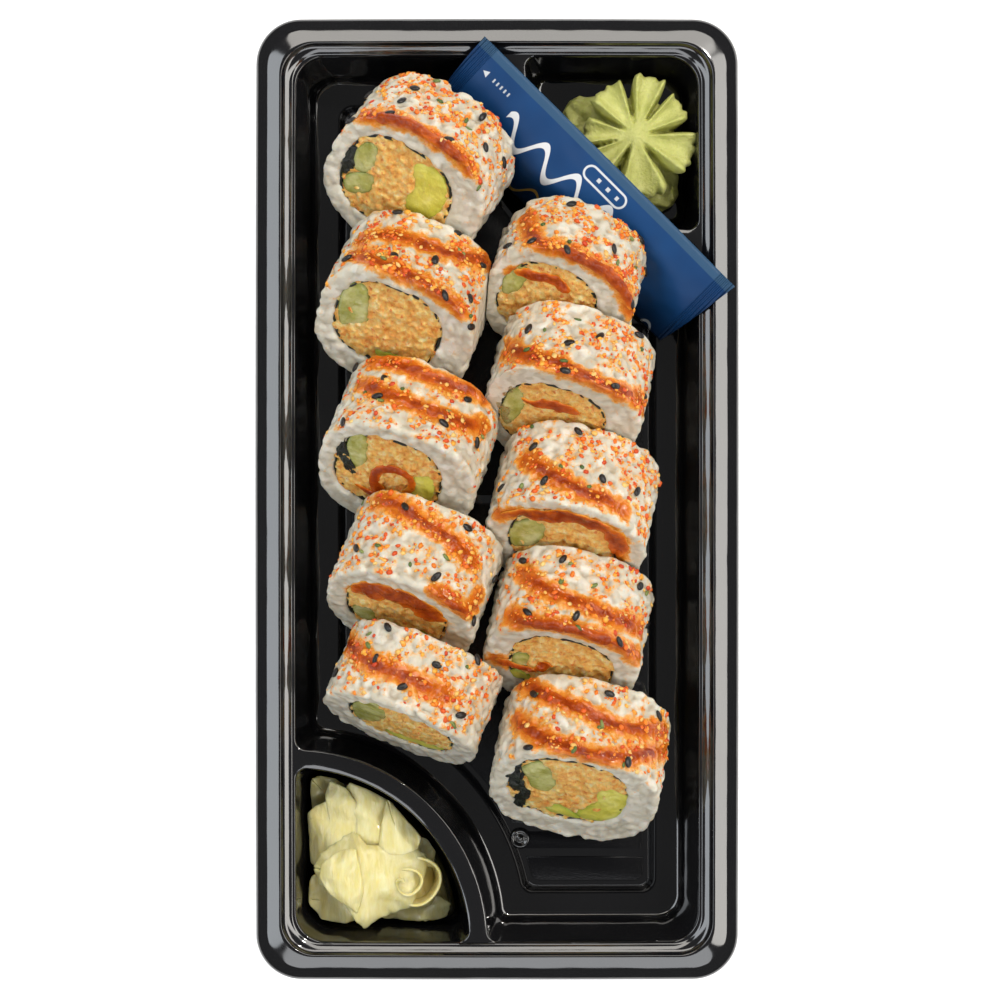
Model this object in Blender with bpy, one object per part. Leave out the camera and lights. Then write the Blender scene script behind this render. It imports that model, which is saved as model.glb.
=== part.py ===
"""Takeaway sushi tray: a black thermoformed tray that holds ten inside-out rolls in two leaning
columns, a piped star of wasabi, a heap of pickled ginger and a flat sachet of soy sauce.

Metres, +Z up. The origin is in the middle of the tray's underside, and its long side runs along Y.
"""

import math
import random
from collections import namedtuple

import bmesh
import bpy
import numpy as np
from mathutils import Matrix, Vector, noise
from mathutils.bvhtree import BVHTree

MM = 0.001
GAP = 0.35 * MM                 # left between pieces that touch

# Tray: one thin sheet, formed over a mould
TRAY_WIDTH = 113.4 * MM         # at the ends; the bow below adds to it at mid-length
TRAY_LENGTH = 228.4 * MM
TRAY_CORNER = 10.7 * MM         # radius of the outer corners
CORNER_SHRINK = 0.42            # how fast that radius falls from the lip inwards
SIDE_BOW = 1.2 * MM             # the long sides swell this far at mid-length
END_BOW = 0.8 * MM
DECK = 21.9 * MM                # level of the ridges' tops and of the strip inside the rim
PLATFORM = 3.0 * MM             # level of the raised floor under the rolls
SHEET = 0.8 * MM
POCKET_X = 48.1 * MM            # half sizes of the area that the three pockets share
POCKET_Y = 105.6 * MM
RIDGE_INNER = 41.6 * MM         # the ridges are quarter rings about two opposite corners of it
RIDGE_OUTER = 45.7 * MM
POCKET_CORNER = 7.0 * MM
RIDGE_FILLET = 2.6 * MM         # where a ridge runs into a wall

# Profiles of the sheet as (distance in from its outline, height), in millimetres
RIM_TOP = [(0, 19.8), (0.2, 20.9), (1.5, 22.1), (2.5, 23.6), (3.3, 24.0), (4.5, 24.0),
           (5.3, 23.5), (6.0, 22.7), (7.5, 22.6), (8.2, 21.9)]
RIM_UNDER = [(0.8, 19.8), (1.0, 20.5), (2.0, 21.4), (3.1, 22.9), (4.7, 22.9), (5.4, 21.9), (7.4, 21.1)]
MAIN_TOP = [(0, 21.9), (0.3, 21.4), (2.9, 2.2), (3.5, 1.2), (4.4, 0.8), (9.8, 0.8), (10.6, 2.5), (11.2, 3.0)]
MAIN_UNDER = [(-0.75, 21.1), (2.1, 2.0), (2.9, 0.4), (4.2, 0), (10.3, 0), (11.2, 1.8), (11.8, 2.2)]
SIDE_TOP = [(0, 21.9), (0.3, 21.4), (2.4, 2.2), (3.0, 1.2), (4.0, 0.8)]
SIDE_UNDER = [(-0.75, 21.1), (1.6, 2.0), (2.4, 0.4), (3.8, 0)]

# Rolls: place of the middle, turn of the axis, tilt of the cut face, spin about the axis, half sizes, length
Roll = namedtuple("Roll", "x y yaw tilt spin half_width half_height length")
ROLLS = {
    "left_1": Roll(-18.5, 78.5, -32, 46, 0, 20.3, 19.3, 21.5),
    "left_2": Roll(-21.4, 46.5, -22, 42, 0, 19.5, 19.3, 23.0),
    "left_3": Roll(-20.9, 12.6, -20, 38, 0, 19.5, 19.3, 23.5),
    "left_4": Roll(-19.5, -18.3, -21, 28, 0, 18.8, 18.8, 23.5),
    "left_5": Roll(-20.0, -45.9, -22, 18, 0, 19.6, 18.8, 20.0),
    "right_1": Roll(15.8, 52.0, -18, 42, 14, 17.9, 18.4, 19.5),
    "right_2": Roll(17.1, 26.8, -14, 36, 7, 19.0, 18.8, 23.0),
    "right_3": Roll(17.8, -2.1, -13, 34, 5, 19.4, 18.8, 24.0),
    "right_4": Roll(16.8, -30.6, -12, 33, 6, 18.8, 18.8, 23.5),
    "right_5": Roll(19.7, -61.5, -11, 36, 4, 20.4, 19.3, 22.5),
}
SQUARENESS = 2.5                # exponent of the rolls' rounded-square outline
CUT_EDGE = 1.2 * MM             # rounding of the rice at both cuts
RICE_RING = 6.4 * MM            # thickness of the rice
RICE_BUMP = 0.75 * MM           # depth of the dips between lumps of grains
NORI = 0.6 * MM
RICE_SIDES = 24
NORI_SIDES = 12

# Fillings of each roll: (cut off for the cucumber, height of the avocado's top, its slope)
FILLINGS = {
    "left_1": (-5.0, -1.0, 30), "left_2": (-5.5, -7.0, 8), "left_3": (-6.0, -5.0, 25),
    "left_4": (-6.0, -6.0, 10), "left_5": (-5.0, -3.5, 5), "right_1": (-6.5, -6.0, 10),
    "right_2": (-5.0, -6.0, 5), "right_3": (-4.0, -6.0, 0), "right_4": (-6.0, -5.0, -12),
    "right_5": (-4.5, -2.5, 12),
}

# Bands of thick sauce, each through three points: (degrees from the top, place along the roll)
SAUCE_BANDS = {
    "left_1": [((-54, 0.28), (-15, 0.36), (30, 0.34))],
    "left_2": [((-50, -0.04), (-5, -0.08), (48, -0.30)), ((-52, 0.20), (0, 0.36), (40, 0.34))],
    "left_3": [((-58, -0.30), (-10, -0.30), (38, -0.32)), ((-50, -0.09), (4, 0.10), (52, -0.08))],
    "left_4": [((-48, -0.32), (-4, -0.20), (36, -0.04)), ((5, 0.36), (35, 0.34), (60, 0.17))],
    "left_5": [((-62, -0.10), (-12, 0.08), (62, 0.06))],
    "right_1": [((-50, 0.05), (-14, 0.34), (55, 0.34))],
    "right_2": [((-70, 0.03), (-13, 0.34), (64, 0.24))],
    "right_3": [((-62, -0.12), (-12, 0.22), (40, 0.30))],
    "right_4": [((-50, -0.16), (-5, 0.12), (54, 0.10)), ((-56, 0.30), (0, 0.36), (56, 0.34))],
    "right_5": [((-60, -0.34), (-10, -0.09), (58, -0.20)), ((-60, 0.0), (-5, 0.34), (62, 0.0))],
}
BAND_WIDTH = 4.4 * MM
BAND_RISE = 0.6 * MM
SEED = (3.0 * MM, 1.7 * MM, 1.1 * MM)
SEEDS_PER_ROLL = 3
TOPPING_SPREAD = 62             # degrees each side of the top
KEEP_CLEAR = 1.6 * MM           # toppings stay this far from where rolls press together

# Sachet: a flat pillow that hangs from the rim and the wasabi's ridge, and bends down behind the rolls
SACHET_CORNER = Vector((-2.9 * MM, 109.9 * MM))
SACHET_LENGTH = 84 * MM
SACHET_WIDTH = 29 * MM
SACHET_LEVEL = 25.1 * MM
SACHET_CAMBER = 1.3 * MM
SACHET_SEAL = 6 * MM
SACHET_FILM = 0.5 * MM
SACHET_SWELL = 1.3 * MM
SACHET_FLAT = 9.5 * MM          # width that lies nearly level before it bends down
SACHET_BEND = 6.5 * MM
SACHET_SLOPES = (4, 64)         # degrees before and after the bend
SACHET_TRIM = 3.5 * MM          # the far long edge is this much shorter
SACHET_ALONG = Vector((1, -1)).normalized()
SACHET_DOWN = Vector((-1, -1)).normalized()
SACHET_ROOM = 0.8 * MM          # kept to the rolls
RIDGE_ROOM = 1.3 * MM           # kept to the ridge, whose edge it bends over
SACHET_NEIGHBOURS = ("left_1", "right_1", "right_2")

# Wasabi: a rosette of seven piped petals over a short piped rope
WASABI = Vector((33.3 * MM, 87.3 * MM))
PETALS = (16, 55, 106, 173, 240, 270, 327)     # degrees clockwise from +Y
PETAL_REACH = (14.6, 13.2, 14.6, 15.2, 12.8, 12.6, 13.6)
PETAL_TOP = 20.6 * MM
ROPE_HALF = 18 * MM
ROPE_RADIUS = 7.2 * MM
ROPE_RISE = 11.5 * MM

# Ginger: slices on a low heap, each (x, y, z, length, width, heading, tilt, roll, curl)
Slice = namedtuple("Slice", "x y z length width heading tilt roll curl")
SLICES = [
    Slice(-40.5, -77.5, 9.5, 19, 13, 100, 12, -18, 1.6),
    Slice(-34.0, -74.5, 12.0, 19, 12, 75, 14, 12, 2.4),
    Slice(-24.0, -78.0, 13.0, 15, 12, 60, 16, 26, 1.8),
    Slice(-34.0, -91.5, 15.0, 27, 19, 20, -4, -4, 2.6),
    Slice(-18.0, -84.5, 12.0, 13, 9, 140, 8, 14, 1.4),
    Slice(-42.0, -95.0, 9.0, 13, 10, 120, -14, -8, 1.5),
    Slice(-21.0, -98.5, 8.0, 20, 9, 15, -4, -16, 1.2),
    Slice(-35.0, -98.0, 12.0, 13, 12, 280, -14, 0, 1.2),
]
SLICE_SHEET = 1.1 * MM
CURL = Vector((-19.0 * MM, -90.8 * MM, 8.5 * MM))
CURL_SIZE = (9.5 * MM, 8.0 * MM, 8.5 * MM)
GINGER_HEAP = 11.0 * MM


def reset():
    """Empty the scene of objects."""
    for item in list(bpy.data.objects):
        bpy.data.objects.remove(item)


def material(name, colour, roughness, metallic=0.0):
    """Return a plain Principled material."""
    made = bpy.data.materials.new(name)
    made.use_nodes = True
    shader = made.node_tree.nodes["Principled BSDF"]
    shader.inputs["Base Color"].default_value = (*colour, 1.0)
    shader.inputs["Roughness"].default_value = roughness
    shader.inputs["Metallic"].default_value = metallic
    return made


def link(name, bm, finish, matrix=None, parent=None):
    """Make a named object from a bmesh in world coordinates, placed by a matrix of its own."""
    mesh = bpy.data.meshes.new(name)
    bm.to_mesh(mesh)
    bm.free()
    mesh.materials.append(finish)
    item = bpy.data.objects.new(name, mesh)
    bpy.context.scene.collection.objects.link(item)
    if parent:
        mesh.transform(matrix.inverted())
        item.parent = parent
    return item


def skin(bm, rings):
    """Join rings of equal count with quads."""
    for low, high in zip(rings, rings[1:]):
        count = len(low)
        for i in range(count):
            j = (i + 1) % count
            bm.faces.new((low[i], low[j], high[j], high[i]))


def finish_closed(bm):
    """Split the faces into triangles and point them outwards."""
    bmesh.ops.triangulate(bm, faces=bm.faces)
    bmesh.ops.recalc_face_normals(bm, faces=bm.faces)
    return bm


def fuse(base, extras):
    """Join a list of closed objects to a base with one Boolean union."""
    group = bpy.data.collections.new(base.name + "_extras")
    bpy.context.scene.collection.children.link(group)
    for item in extras:
        bpy.context.scene.collection.objects.unlink(item)
        group.objects.link(item)
    start = len(base.data.polygons)
    for solver in ("EXACT", "MANIFOLD"):
        join = base.modifiers.new("fuse", 'BOOLEAN')
        join.operation = 'UNION'
        join.operand_type = 'COLLECTION'
        join.collection = group
        join.solver = solver
        depsgraph = bpy.context.evaluated_depsgraph_get()
        fused = bpy.data.meshes.new_from_object(base.evaluated_get(depsgraph))
        base.modifiers.remove(join)
        if closed(fused) and len(fused.polygons) > start:
            break
    fused.name = base.data.name + "_fused"
    base.data = fused
    for item in extras:
        bpy.data.objects.remove(item)
    bpy.data.collections.remove(group)
    drop_scraps(base.data)


def closed(mesh):
    """Tell whether every edge of a mesh has two faces."""
    bm = bmesh.new()
    bm.from_mesh(mesh)
    whole = len(bm.edges) > 0 and all(len(edge.link_faces) == 2 for edge in bm.edges)
    bm.free()
    return whole


def drop_scraps(mesh):
    """Keep the largest of a mesh's separate shells, in triangles, without slivers of no length."""
    bm = bmesh.new()
    bm.from_mesh(mesh)
    bmesh.ops.remove_doubles(bm, verts=bm.verts, dist=0.00002)
    bmesh.ops.dissolve_degenerate(bm, edges=bm.edges, dist=0.00001)
    bmesh.ops.triangulate(bm, faces=bm.faces)
    left = set(bm.faces)
    shells = []
    while left:
        stack = [left.pop()]
        shell = list(stack)
        while stack:
            for edge in stack.pop().edges:
                for face in edge.link_faces if len(edge.link_faces) == 2 else ():
                    if face in left:
                        left.discard(face)
                        shell.append(face)
                        stack.append(face)
        shells.append(shell)
    shells.sort(key=len)
    for shell in shells[:-1]:
        bmesh.ops.delete(bm, geom=shell, context='FACES')
    bm.to_mesh(mesh)
    bm.free()


# Tray

def arc(centre_x, centre_y, radius, start, end, steps):
    """Return the points of an arc, both ends included, for angles in degrees."""
    points = []
    for i in range(steps + 1):
        angle = math.radians(start + (end - start) * i / steps)
        points.append((centre_x + radius * math.cos(angle), centre_y + radius * math.sin(angle)))
    return points


def between(first, last, count):
    """Return evenly spaced points between two points, both left out."""
    return [(first[0] + (last[0] - first[0]) * i / (count + 1),
             first[1] + (last[1] - first[1]) * i / (count + 1)) for i in range(1, count + 1)]


def rim_outline(inset):
    """Return the tray's rounded rectangle at a distance in from its lip."""
    half_x = TRAY_WIDTH / 2 - inset
    half_y = TRAY_LENGTH / 2 - inset
    radius = TRAY_CORNER - CORNER_SHRINK * inset
    corners = [arc(sign_x * (half_x - radius), sign_y * (half_y - radius), radius, start, start + 90, 4)
               for sign_x, sign_y, start in ((1, -1, -90), (1, 1, 0), (-1, 1, 90), (-1, -1, 180))]
    outline = []
    for i, corner in enumerate(corners):
        side_points = 3 if i % 2 == 0 else 1
        outline += corner + between(corner[-1], corners[(i + 1) % 4][0], side_points)
    return outline


def main_outline(inset):
    """Return the rolls' pocket: a rectangle without the two quarter discs of the small pockets."""
    reach = RIDGE_OUTER + inset
    side = inset + RIDGE_FILLET
    along = math.sqrt((reach + RIDGE_FILLET) ** 2 - side ** 2)
    lean = math.degrees(math.atan2(side, along))
    radius = max(POCKET_CORNER - 0.4 * inset, 2.5 * MM)
    wall_x = POCKET_X - inset
    wall_y = POCKET_Y - inset
    start = (-POCKET_X + along, -wall_y)
    corner = arc(wall_x - radius, -(wall_y - radius), radius, -90, 0, 4)
    lower = arc(wall_x - RIDGE_FILLET, POCKET_Y - along, RIDGE_FILLET, 0, 90 - lean, 2)
    ring = arc(POCKET_X, POCKET_Y, reach, 270 - lean, 180 + lean, 8)[1:-1]
    upper = arc(POCKET_X - along, wall_y - RIDGE_FILLET, RIDGE_FILLET, lean, 90, 2)[:-1]
    half = [start] + corner + between(corner[-1], lower[0], 2) + lower + ring + upper
    return half + [(-x, -y) for x, y in half]


def side_outline(inset, sign):
    """Return a small pocket's quarter disc, the ginger's for sign 1 and the wasabi's for sign -1."""
    reach = RIDGE_INNER - inset
    side = inset + RIDGE_FILLET
    along = math.sqrt((reach - RIDGE_FILLET) ** 2 - side ** 2)
    lean = math.degrees(math.atan2(side, along))
    radius = max(POCKET_CORNER - 0.4 * inset, 2.5 * MM)
    outline = arc(-POCKET_X + inset + radius, -POCKET_Y + inset + radius, radius, 180, 270, 3)
    outline += arc(-POCKET_X + along, -POCKET_Y + side, RIDGE_FILLET, 270, 360 + lean, 2)
    outline += arc(-POCKET_X, -POCKET_Y, reach, lean, 90 - lean, 7)[1:-1]
    outline += arc(-POCKET_X + side, -POCKET_Y + along, RIDGE_FILLET, 90 - lean, 180, 2)
    return [(sign * x, sign * y) for x, y in outline]


def ring_edges(bm, ring):
    """Return the edges that run round a ring."""
    return [bm.edges.get((ring[i], ring[(i + 1) % len(ring)])) for i in range(len(ring))]


def make_tray(finish):
    """Form the sheet: rim, deck, walls and floors above, and the same a sheet's thickness below."""
    bm = bmesh.new()

    def rings(outline, profile):
        made = []
        for inset, height in profile:
            made.append([bm.verts.new((x, y, height * MM)) for x, y in outline(inset * MM)])
        skin(bm, made)
        return made

    pockets = [(main_outline, MAIN_TOP, MAIN_UNDER),
               (lambda inset: side_outline(inset, 1), SIDE_TOP, SIDE_UNDER),
               (lambda inset: side_outline(inset, -1), SIDE_TOP, SIDE_UNDER)]
    lips = []
    for side, rim in ((1, RIM_TOP), (2, RIM_UNDER)):
        rim_rings = rings(rim_outline, rim)
        lips.append(rim_rings[0])
        deck = ring_edges(bm, rim_rings[-1])
        level = rim_rings[-1][0].co.z
        for pocket in pockets:
            pocket_rings = rings(pocket[0], pocket[side])
            for vert in pocket_rings[0]:
                vert.co.z = level
            deck += ring_edges(bm, pocket_rings[0])
            bm.faces.new(pocket_rings[-1])
        bmesh.ops.triangle_fill(bm, use_beauty=True, use_dissolve=False, edges=deck, normal=(0, 0, 1))
    skin(bm, lips)
    finish_closed(bm)
    for vert in bm.verts:
        x, y = vert.co.x, vert.co.y
        vert.co.x *= 1 + SIDE_BOW / (TRAY_WIDTH / 2) * (1 - (y / (TRAY_LENGTH / 2)) ** 2)
        vert.co.y *= 1 + END_BOW / (TRAY_LENGTH / 2) * (1 - (x / (TRAY_WIDTH / 2)) ** 2)
    return link("tray", bm, finish)


# Rolls

def roll_matrix(roll):
    """Return a roll's frame: X to its side, Y to its top and Z out of its cut face."""
    yaw, tilt = math.radians(roll.yaw), math.radians(roll.tilt)
    axis = Vector((math.sin(yaw) * math.cos(tilt), -math.cos(yaw) * math.cos(tilt), math.sin(tilt)))
    side = Vector((math.cos(yaw), math.sin(yaw), 0))
    top = axis.cross(side)
    height = PLATFORM + (roll.length / 2 * math.sin(tilt) + roll.half_height * math.cos(tilt)) * MM
    turned = Matrix((side, top, axis)).transposed().to_4x4()
    place = Matrix.Translation((roll.x * MM, roll.y * MM, height))
    return place @ turned @ Matrix.Rotation(-math.radians(roll.spin), 4, 'Z')


def outline_point(roll, angle, inset):
    """Return a point of the rounded square at an angle from the top, in the roll's own X and Y."""
    across = math.copysign(abs(math.sin(angle)) ** (2 / SQUARENESS), math.sin(angle))
    up = math.copysign(abs(math.cos(angle)) ** (2 / SQUARENESS), math.cos(angle))
    return across * (roll.half_width * MM - inset), up * (roll.half_height * MM - inset)


def outline(roll, inset, sides):
    """Return the rounded square at a distance in from the roll's side."""
    return [outline_point(roll, -2 * math.pi * i / sides, inset) for i in range(sides)]


def envelope(roll, matrix):
    """Return the points of the smooth shape that holds the roll."""
    half = roll.length / 2 * MM
    points = []
    for height, inset in ((-half, CUT_EDGE), (CUT_EDGE - half, 0), (half - CUT_EDGE, 0), (half, CUT_EDGE)):
        points += [matrix @ Vector((x, y, height)) for x, y in outline(roll, inset, 48)]
    return np.array(points)


def pressing_planes(shapes):
    """Find the plane between each pair of rolls that press on each other, and each roll's side of it."""
    fan = []
    for turn in range(0, 360, 5):
        for rise in range(-85, 90, 5):
            level = math.cos(math.radians(rise))
            fan.append((level * math.cos(math.radians(turn)), level * math.sin(math.radians(turn)),
                        math.sin(math.radians(rise))))
    fan = np.array(fan)
    reach = {name: points @ fan.T for name, points in shapes.items()}
    planes = {name: [] for name in shapes}
    names = list(shapes)
    for i, first in enumerate(names):
        for second in names[i + 1:]:
            room = reach[second].min(axis=0) - reach[first].max(axis=0)
            best = int(np.argmax(room))
            if room[best] > GAP:
                continue
            middle = (reach[second].min(axis=0)[best] + reach[first].max(axis=0)[best]) / 2
            normal = Vector(fan[best])
            planes[first].append((normal, float(middle) - GAP / 2))
            planes[second].append((-normal, -float(middle) - GAP / 2))
    return planes


def press(bm, planes):
    """Flatten what reaches past the planes against them."""
    for vert in bm.verts:
        for normal, offset in planes:
            past = vert.co.dot(normal) - offset
            if past > 0:
                vert.co -= normal * past


def tube(levels_outer, levels_inner):
    """Return a bmesh of a tube, from rings of points outside and inside, back to front."""
    bm = bmesh.new()
    outer = [[bm.verts.new(point) for point in ring] for ring in levels_outer]
    inner = [[bm.verts.new(point) for point in ring] for ring in levels_inner]
    skin(bm, outer)
    skin(bm, inner)
    skin(bm, [outer[0], inner[0]])
    skin(bm, [outer[-1], inner[-1]])
    return bm


def prism(points, half, bulge):
    """Return a bmesh of a prism whose two ends have a raised middle."""
    bm = bmesh.new()
    ends = [[bm.verts.new((x, y, height)) for x, y in points] for height in (-half, half)]
    skin(bm, ends)
    centre_x = sum(x for x, _ in points) / len(points)
    centre_y = sum(y for _, y in points) / len(points)
    for ring, height in zip(ends, (-half - bulge, half + bulge)):
        tip = bm.verts.new((centre_x, centre_y, height))
        for i in range(len(ring)):
            bm.faces.new((ring[i], ring[(i + 1) % len(ring)], tip))
    return bm


def clip(points, across, up, slope):
    """Keep the part of a convex outline that is above a line through a point, at a slope in degrees."""
    normal = (-math.sin(math.radians(slope)), math.cos(math.radians(slope)))
    kept = []
    for i, first in enumerate(points):
        second = points[(i + 1) % len(points)]
        height_1 = (first[0] - across) * normal[0] + (first[1] - up) * normal[1]
        height_2 = (second[0] - across) * normal[0] + (second[1] - up) * normal[1]
        if height_1 >= 0:
            kept.append(first)
        if height_1 * height_2 < 0:
            share = height_1 / (height_1 - height_2)
            kept.append((first[0] + (second[0] - first[0]) * share, first[1] + (second[1] - first[1]) * share))
    return kept


def rice_shell(roll, draw):
    """Return the rice of one roll in its own frame, lumpy outside and at both cuts."""
    half = roll.length / 2 * MM
    inner_half = half - CUT_EDGE
    steps = [-half] + [inner_half * share for share in (-1.0, -0.36, 0.32, 1.0)] + [half]
    insets = [CUT_EDGE, 0, 0, 0, 0, CUT_EDGE]
    outer = []
    for height, inset in zip(steps, insets):
        ring = []
        for i in range(RICE_SIDES):
            dip = inset + draw.uniform(0, RICE_BUMP) + (RICE_BUMP * 0.5 if i % 2 else 0)
            x, y = outline_point(roll, -2 * math.pi * i / RICE_SIDES, dip)
            back = draw.uniform(0, RICE_BUMP) * (1 if inset else 0)
            ring.append((x, y, height - math.copysign(back, height)))
        outer.append(ring)
    bore = outline(roll, RICE_RING, RICE_SIDES)
    inner = [[(x, y, height) for x, y in bore] for height in (-half + RICE_BUMP / 2, half - RICE_BUMP / 2)]
    return finish_closed(tube(outer, inner))


def surface_at(tree, angle, height):
    """Return the place and normal of a roll's side at an angle from the top and a height on its axis."""
    outward = Vector((math.sin(angle), math.cos(angle), 0))
    start = outward * 40 * MM + Vector((0, 0, height))
    place, normal, _, _ = tree.ray_cast(start, -outward)
    return place, normal


def smooth_curve(points, steps):
    """Return points of the parabola through three points."""
    first, middle, last = (Vector(point) for point in points)
    bend = middle * 2 - (first + last) / 2
    curve = []
    for i in range(steps + 1):
        t = i / steps
        curve.append(first * (1 - t) ** 2 + bend * 2 * t * (1 - t) + last * t ** 2)
    return curve


def sauce_band(tree, roll, points, draw):
    """Return a band of thick sauce that follows the rice, as a closed strip sunk into it."""
    bm = bmesh.new()
    path = [surface_at(tree, math.radians(spot[0]), spot[1] * roll.length * MM)
            for spot in smooth_curve(points, 6)]
    rings = []
    for i, (place, _) in enumerate(path):
        before, after = path[max(i - 1, 0)][0], path[min(i + 1, len(path) - 1)][0]
        outward = Vector((place.x, place.y, 0)).normalized()
        across = (after - before).normalized().cross(outward)
        half = BAND_WIDTH / 2 * draw.uniform(0.8, 1.15) * (0.55 if i in (0, len(path) - 1) else 1)
        ring = []
        for share, rise in ((-1, -1.1 * MM), (-0.6, BAND_RISE), (0.6, BAND_RISE), (1, -1.1 * MM)):
            ring.append(bm.verts.new(place + across * half * share + outward * rise))
        rings.append(ring)
    skin(bm, rings)
    bm.faces.new(rings[0])
    bm.faces.new(rings[-1])
    return finish_closed(bm)


def seed(place, normal, heading):
    """Return a seed that lies on the rice, half sunk."""
    bm = bmesh.new()
    bmesh.ops.create_icosphere(bm, subdivisions=1, radius=0.5)
    bmesh.ops.scale(bm, vec=SEED, verts=bm.verts)
    lay = normal.to_track_quat('Z', 'Y').to_matrix().to_4x4() @ Matrix.Rotation(heading, 4, 'Z')
    bmesh.ops.transform(bm, matrix=Matrix.Translation(place + normal * SEED[2] * 0.12) @ lay, verts=bm.verts)
    return bm


def toppings(roll, matrix, planes, core, draw):
    """Return the bands of sauce and the seeds that lie on one roll, clear of its neighbours."""
    tree = BVHTree.FromBMesh(core)

    def free(place):
        spot = matrix @ place
        return all(spot.dot(normal) < offset - KEEP_CLEAR for normal, offset in planes)

    pieces = []
    for points in SAUCE_BANDS[roll]:
        pieces.append(sauce_band(tree, ROLLS[roll], points, draw))
    placed = 0
    while placed < SEEDS_PER_ROLL:
        angle = math.radians(draw.uniform(-TOPPING_SPREAD, TOPPING_SPREAD))
        height = draw.uniform(-0.38, 0.38) * ROLLS[roll].length * MM
        heading = draw.uniform(0, math.pi)
        place, normal = surface_at(tree, angle, height)
        if place is not None and free(place):
            pieces.append(seed(place, normal, heading))
            placed += 1
    return pieces


def make_roll(name, matrix, planes, finishes, draw):
    """Make the five pieces of one roll: rice with its toppings, nori, and three fillings."""
    roll = ROLLS[name]
    half = roll.length / 2 * MM
    frame = bpy.data.objects.new("roll_" + name, None)
    frame.matrix_world = matrix
    bpy.context.scene.collection.objects.link(frame)

    def place(kind, bm):
        bmesh.ops.transform(bm, matrix=matrix, verts=bm.verts)
        press(bm, planes)
        return link(kind + "_" + name, finish_closed(bm), finishes[kind], matrix, frame)

    core = rice_shell(roll, draw)
    pieces = toppings(name, matrix, planes, core, draw)
    rice = place("rice", core)
    extras = []
    for i, bm in enumerate(pieces):
        bmesh.ops.transform(bm, matrix=matrix, verts=bm.verts)
        press(bm, planes)
        extras.append(link("topping_%s_%d" % (name, i), bm, finishes["rice"], matrix, frame))
    bpy.context.view_layer.update()
    fuse(rice, extras)

    inset = RICE_RING + GAP
    skin_rings = []
    for depth in (inset, inset + NORI):
        points = outline(roll, depth, NORI_SIDES)
        skin_rings.append([[(x, y, height) for x, y in points] for height in (0.3 * MM - half, half - 0.3 * MM)])
    place("nori", tube(*skin_rings))

    cut, level, slope = FILLINGS[name]
    space = outline(roll, inset + NORI + GAP, NORI_SIDES)
    low, high = cut * MM - GAP / 2, cut * MM + GAP / 2
    end = half - 0.8 * MM
    place("cucumber", prism(clip(space, low, 0, 90), end, 0.1 * MM))
    rest = clip(space, high, 0, -90)
    place("crab", prism(clip(rest, 0, level * MM + GAP / 2, slope), end, 0.5 * MM))
    place("avocado", prism(clip(rest, 0, level * MM - GAP / 2, slope + 180), end, 0.2 * MM))


# Sachet

def make_sachet(finish, frames):
    """Make the sachet as a pillow between two wavy films, with flat seals round it."""
    steps_long, steps_wide = 14, 8
    halves = []
    middle = []
    for i in range(steps_long + 1):
        halves.append([])
        middle.append([])
        for j in range(steps_wide + 1):
            wide = SACHET_WIDTH * j / steps_wide
            trim = SACHET_TRIM * j / steps_wide
            run = trim * 0.4 + (SACHET_LENGTH - trim * 1.4) * i / steps_long
            out, drop = sachet_section(wide)
            spot = SACHET_CORNER + SACHET_ALONG * run + SACHET_DOWN * out
            rise = SACHET_CAMBER * math.sin(math.pi * i / steps_long) + 0.3 * MM * math.sin(run / MM * 0.31)
            middle[i].append(Vector((spot.x, spot.y, SACHET_LEVEL + rise - drop)))
            fill = swell(run, SACHET_LENGTH) * swell(wide, SACHET_WIDTH) * (1 - 0.75 * j / steps_wide)
            halves[i].append(SACHET_FILM / 2 + SACHET_SWELL * fill)
    for _ in range(12):
        for i in range(steps_long + 1):
            for j in range(2, steps_wide + 1):
                near = [middle[i][j - 1]]
                near += [middle[i][j + 1]] if j < steps_wide else [middle[i][j] * 2 - middle[i][j - 1]]
                near += [middle[i + step][j] for step in (-1, 1) if 0 <= i + step <= steps_long and 0 < i < steps_long]
                average = sum(near, Vector()) / len(near)
                middle[i][j] = middle[i][j].lerp(average, 0.3)
                for _ in range(3):
                    clear_of_ridge(middle[i][j], halves[i][j] + RIDGE_ROOM)
                    clear_of_rolls(middle[i][j], halves[i][j] + SACHET_ROOM, frames)
    bm = bmesh.new()
    sheets = []
    for face in (1, -1):
        rows = []
        for i in range(steps_long + 1):
            row = []
            for j in range(steps_wide + 1):
                ahead = middle[min(i + 1, steps_long)][j] - middle[max(i - 1, 0)][j]
                aside = middle[i][min(j + 1, steps_wide)] - middle[i][max(j - 1, 0)]
                normal = aside.cross(ahead).normalized()
                row.append(bm.verts.new(middle[i][j] + normal * face * halves[i][j]))
            rows.append(row)
        sheets.append(rows)
        for i in range(steps_long):
            for j in range(steps_wide):
                bm.faces.new((rows[i][j], rows[i + 1][j], rows[i + 1][j + 1], rows[i][j + 1]))
    for top, bottom in zip(border(sheets[0]), border(sheets[1])):
        bm.faces.new((top[0], top[1], bottom[1], bottom[0]))
    return link("sachet", finish_closed(bm), finish)


def sachet_section(wide):
    """Return how far out and how far down the sachet's cross-section goes in a width."""
    out = drop = 0.0
    steps = 24
    for i in range(steps):
        share = min(max((wide * (i + 0.5) / steps - SACHET_FLAT) / SACHET_BEND, 0), 1)
        slope = math.radians(SACHET_SLOPES[0] + (SACHET_SLOPES[1] - SACHET_SLOPES[0]) * share)
        out += math.cos(slope) * wide / steps
        drop += math.sin(slope) * wide / steps
    return out, drop


def clear_of_ridge(place, room):
    """Move a point of the sachet off the wasabi's ridge, upwards or outwards, whichever is nearer."""
    flat = Vector((place.x - POCKET_X, place.y - POCKET_Y))
    below = max(DECK - place.z, 0)
    out = RIDGE_OUTER + 0.15 * below + room - flat.length
    up = DECK + room - place.z
    if out <= 0 or up <= 0:
        return
    if up < out:
        place.z += up
    else:
        flat.length += out
        place.x, place.y = POCKET_X + flat.x, POCKET_Y + flat.y


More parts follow.
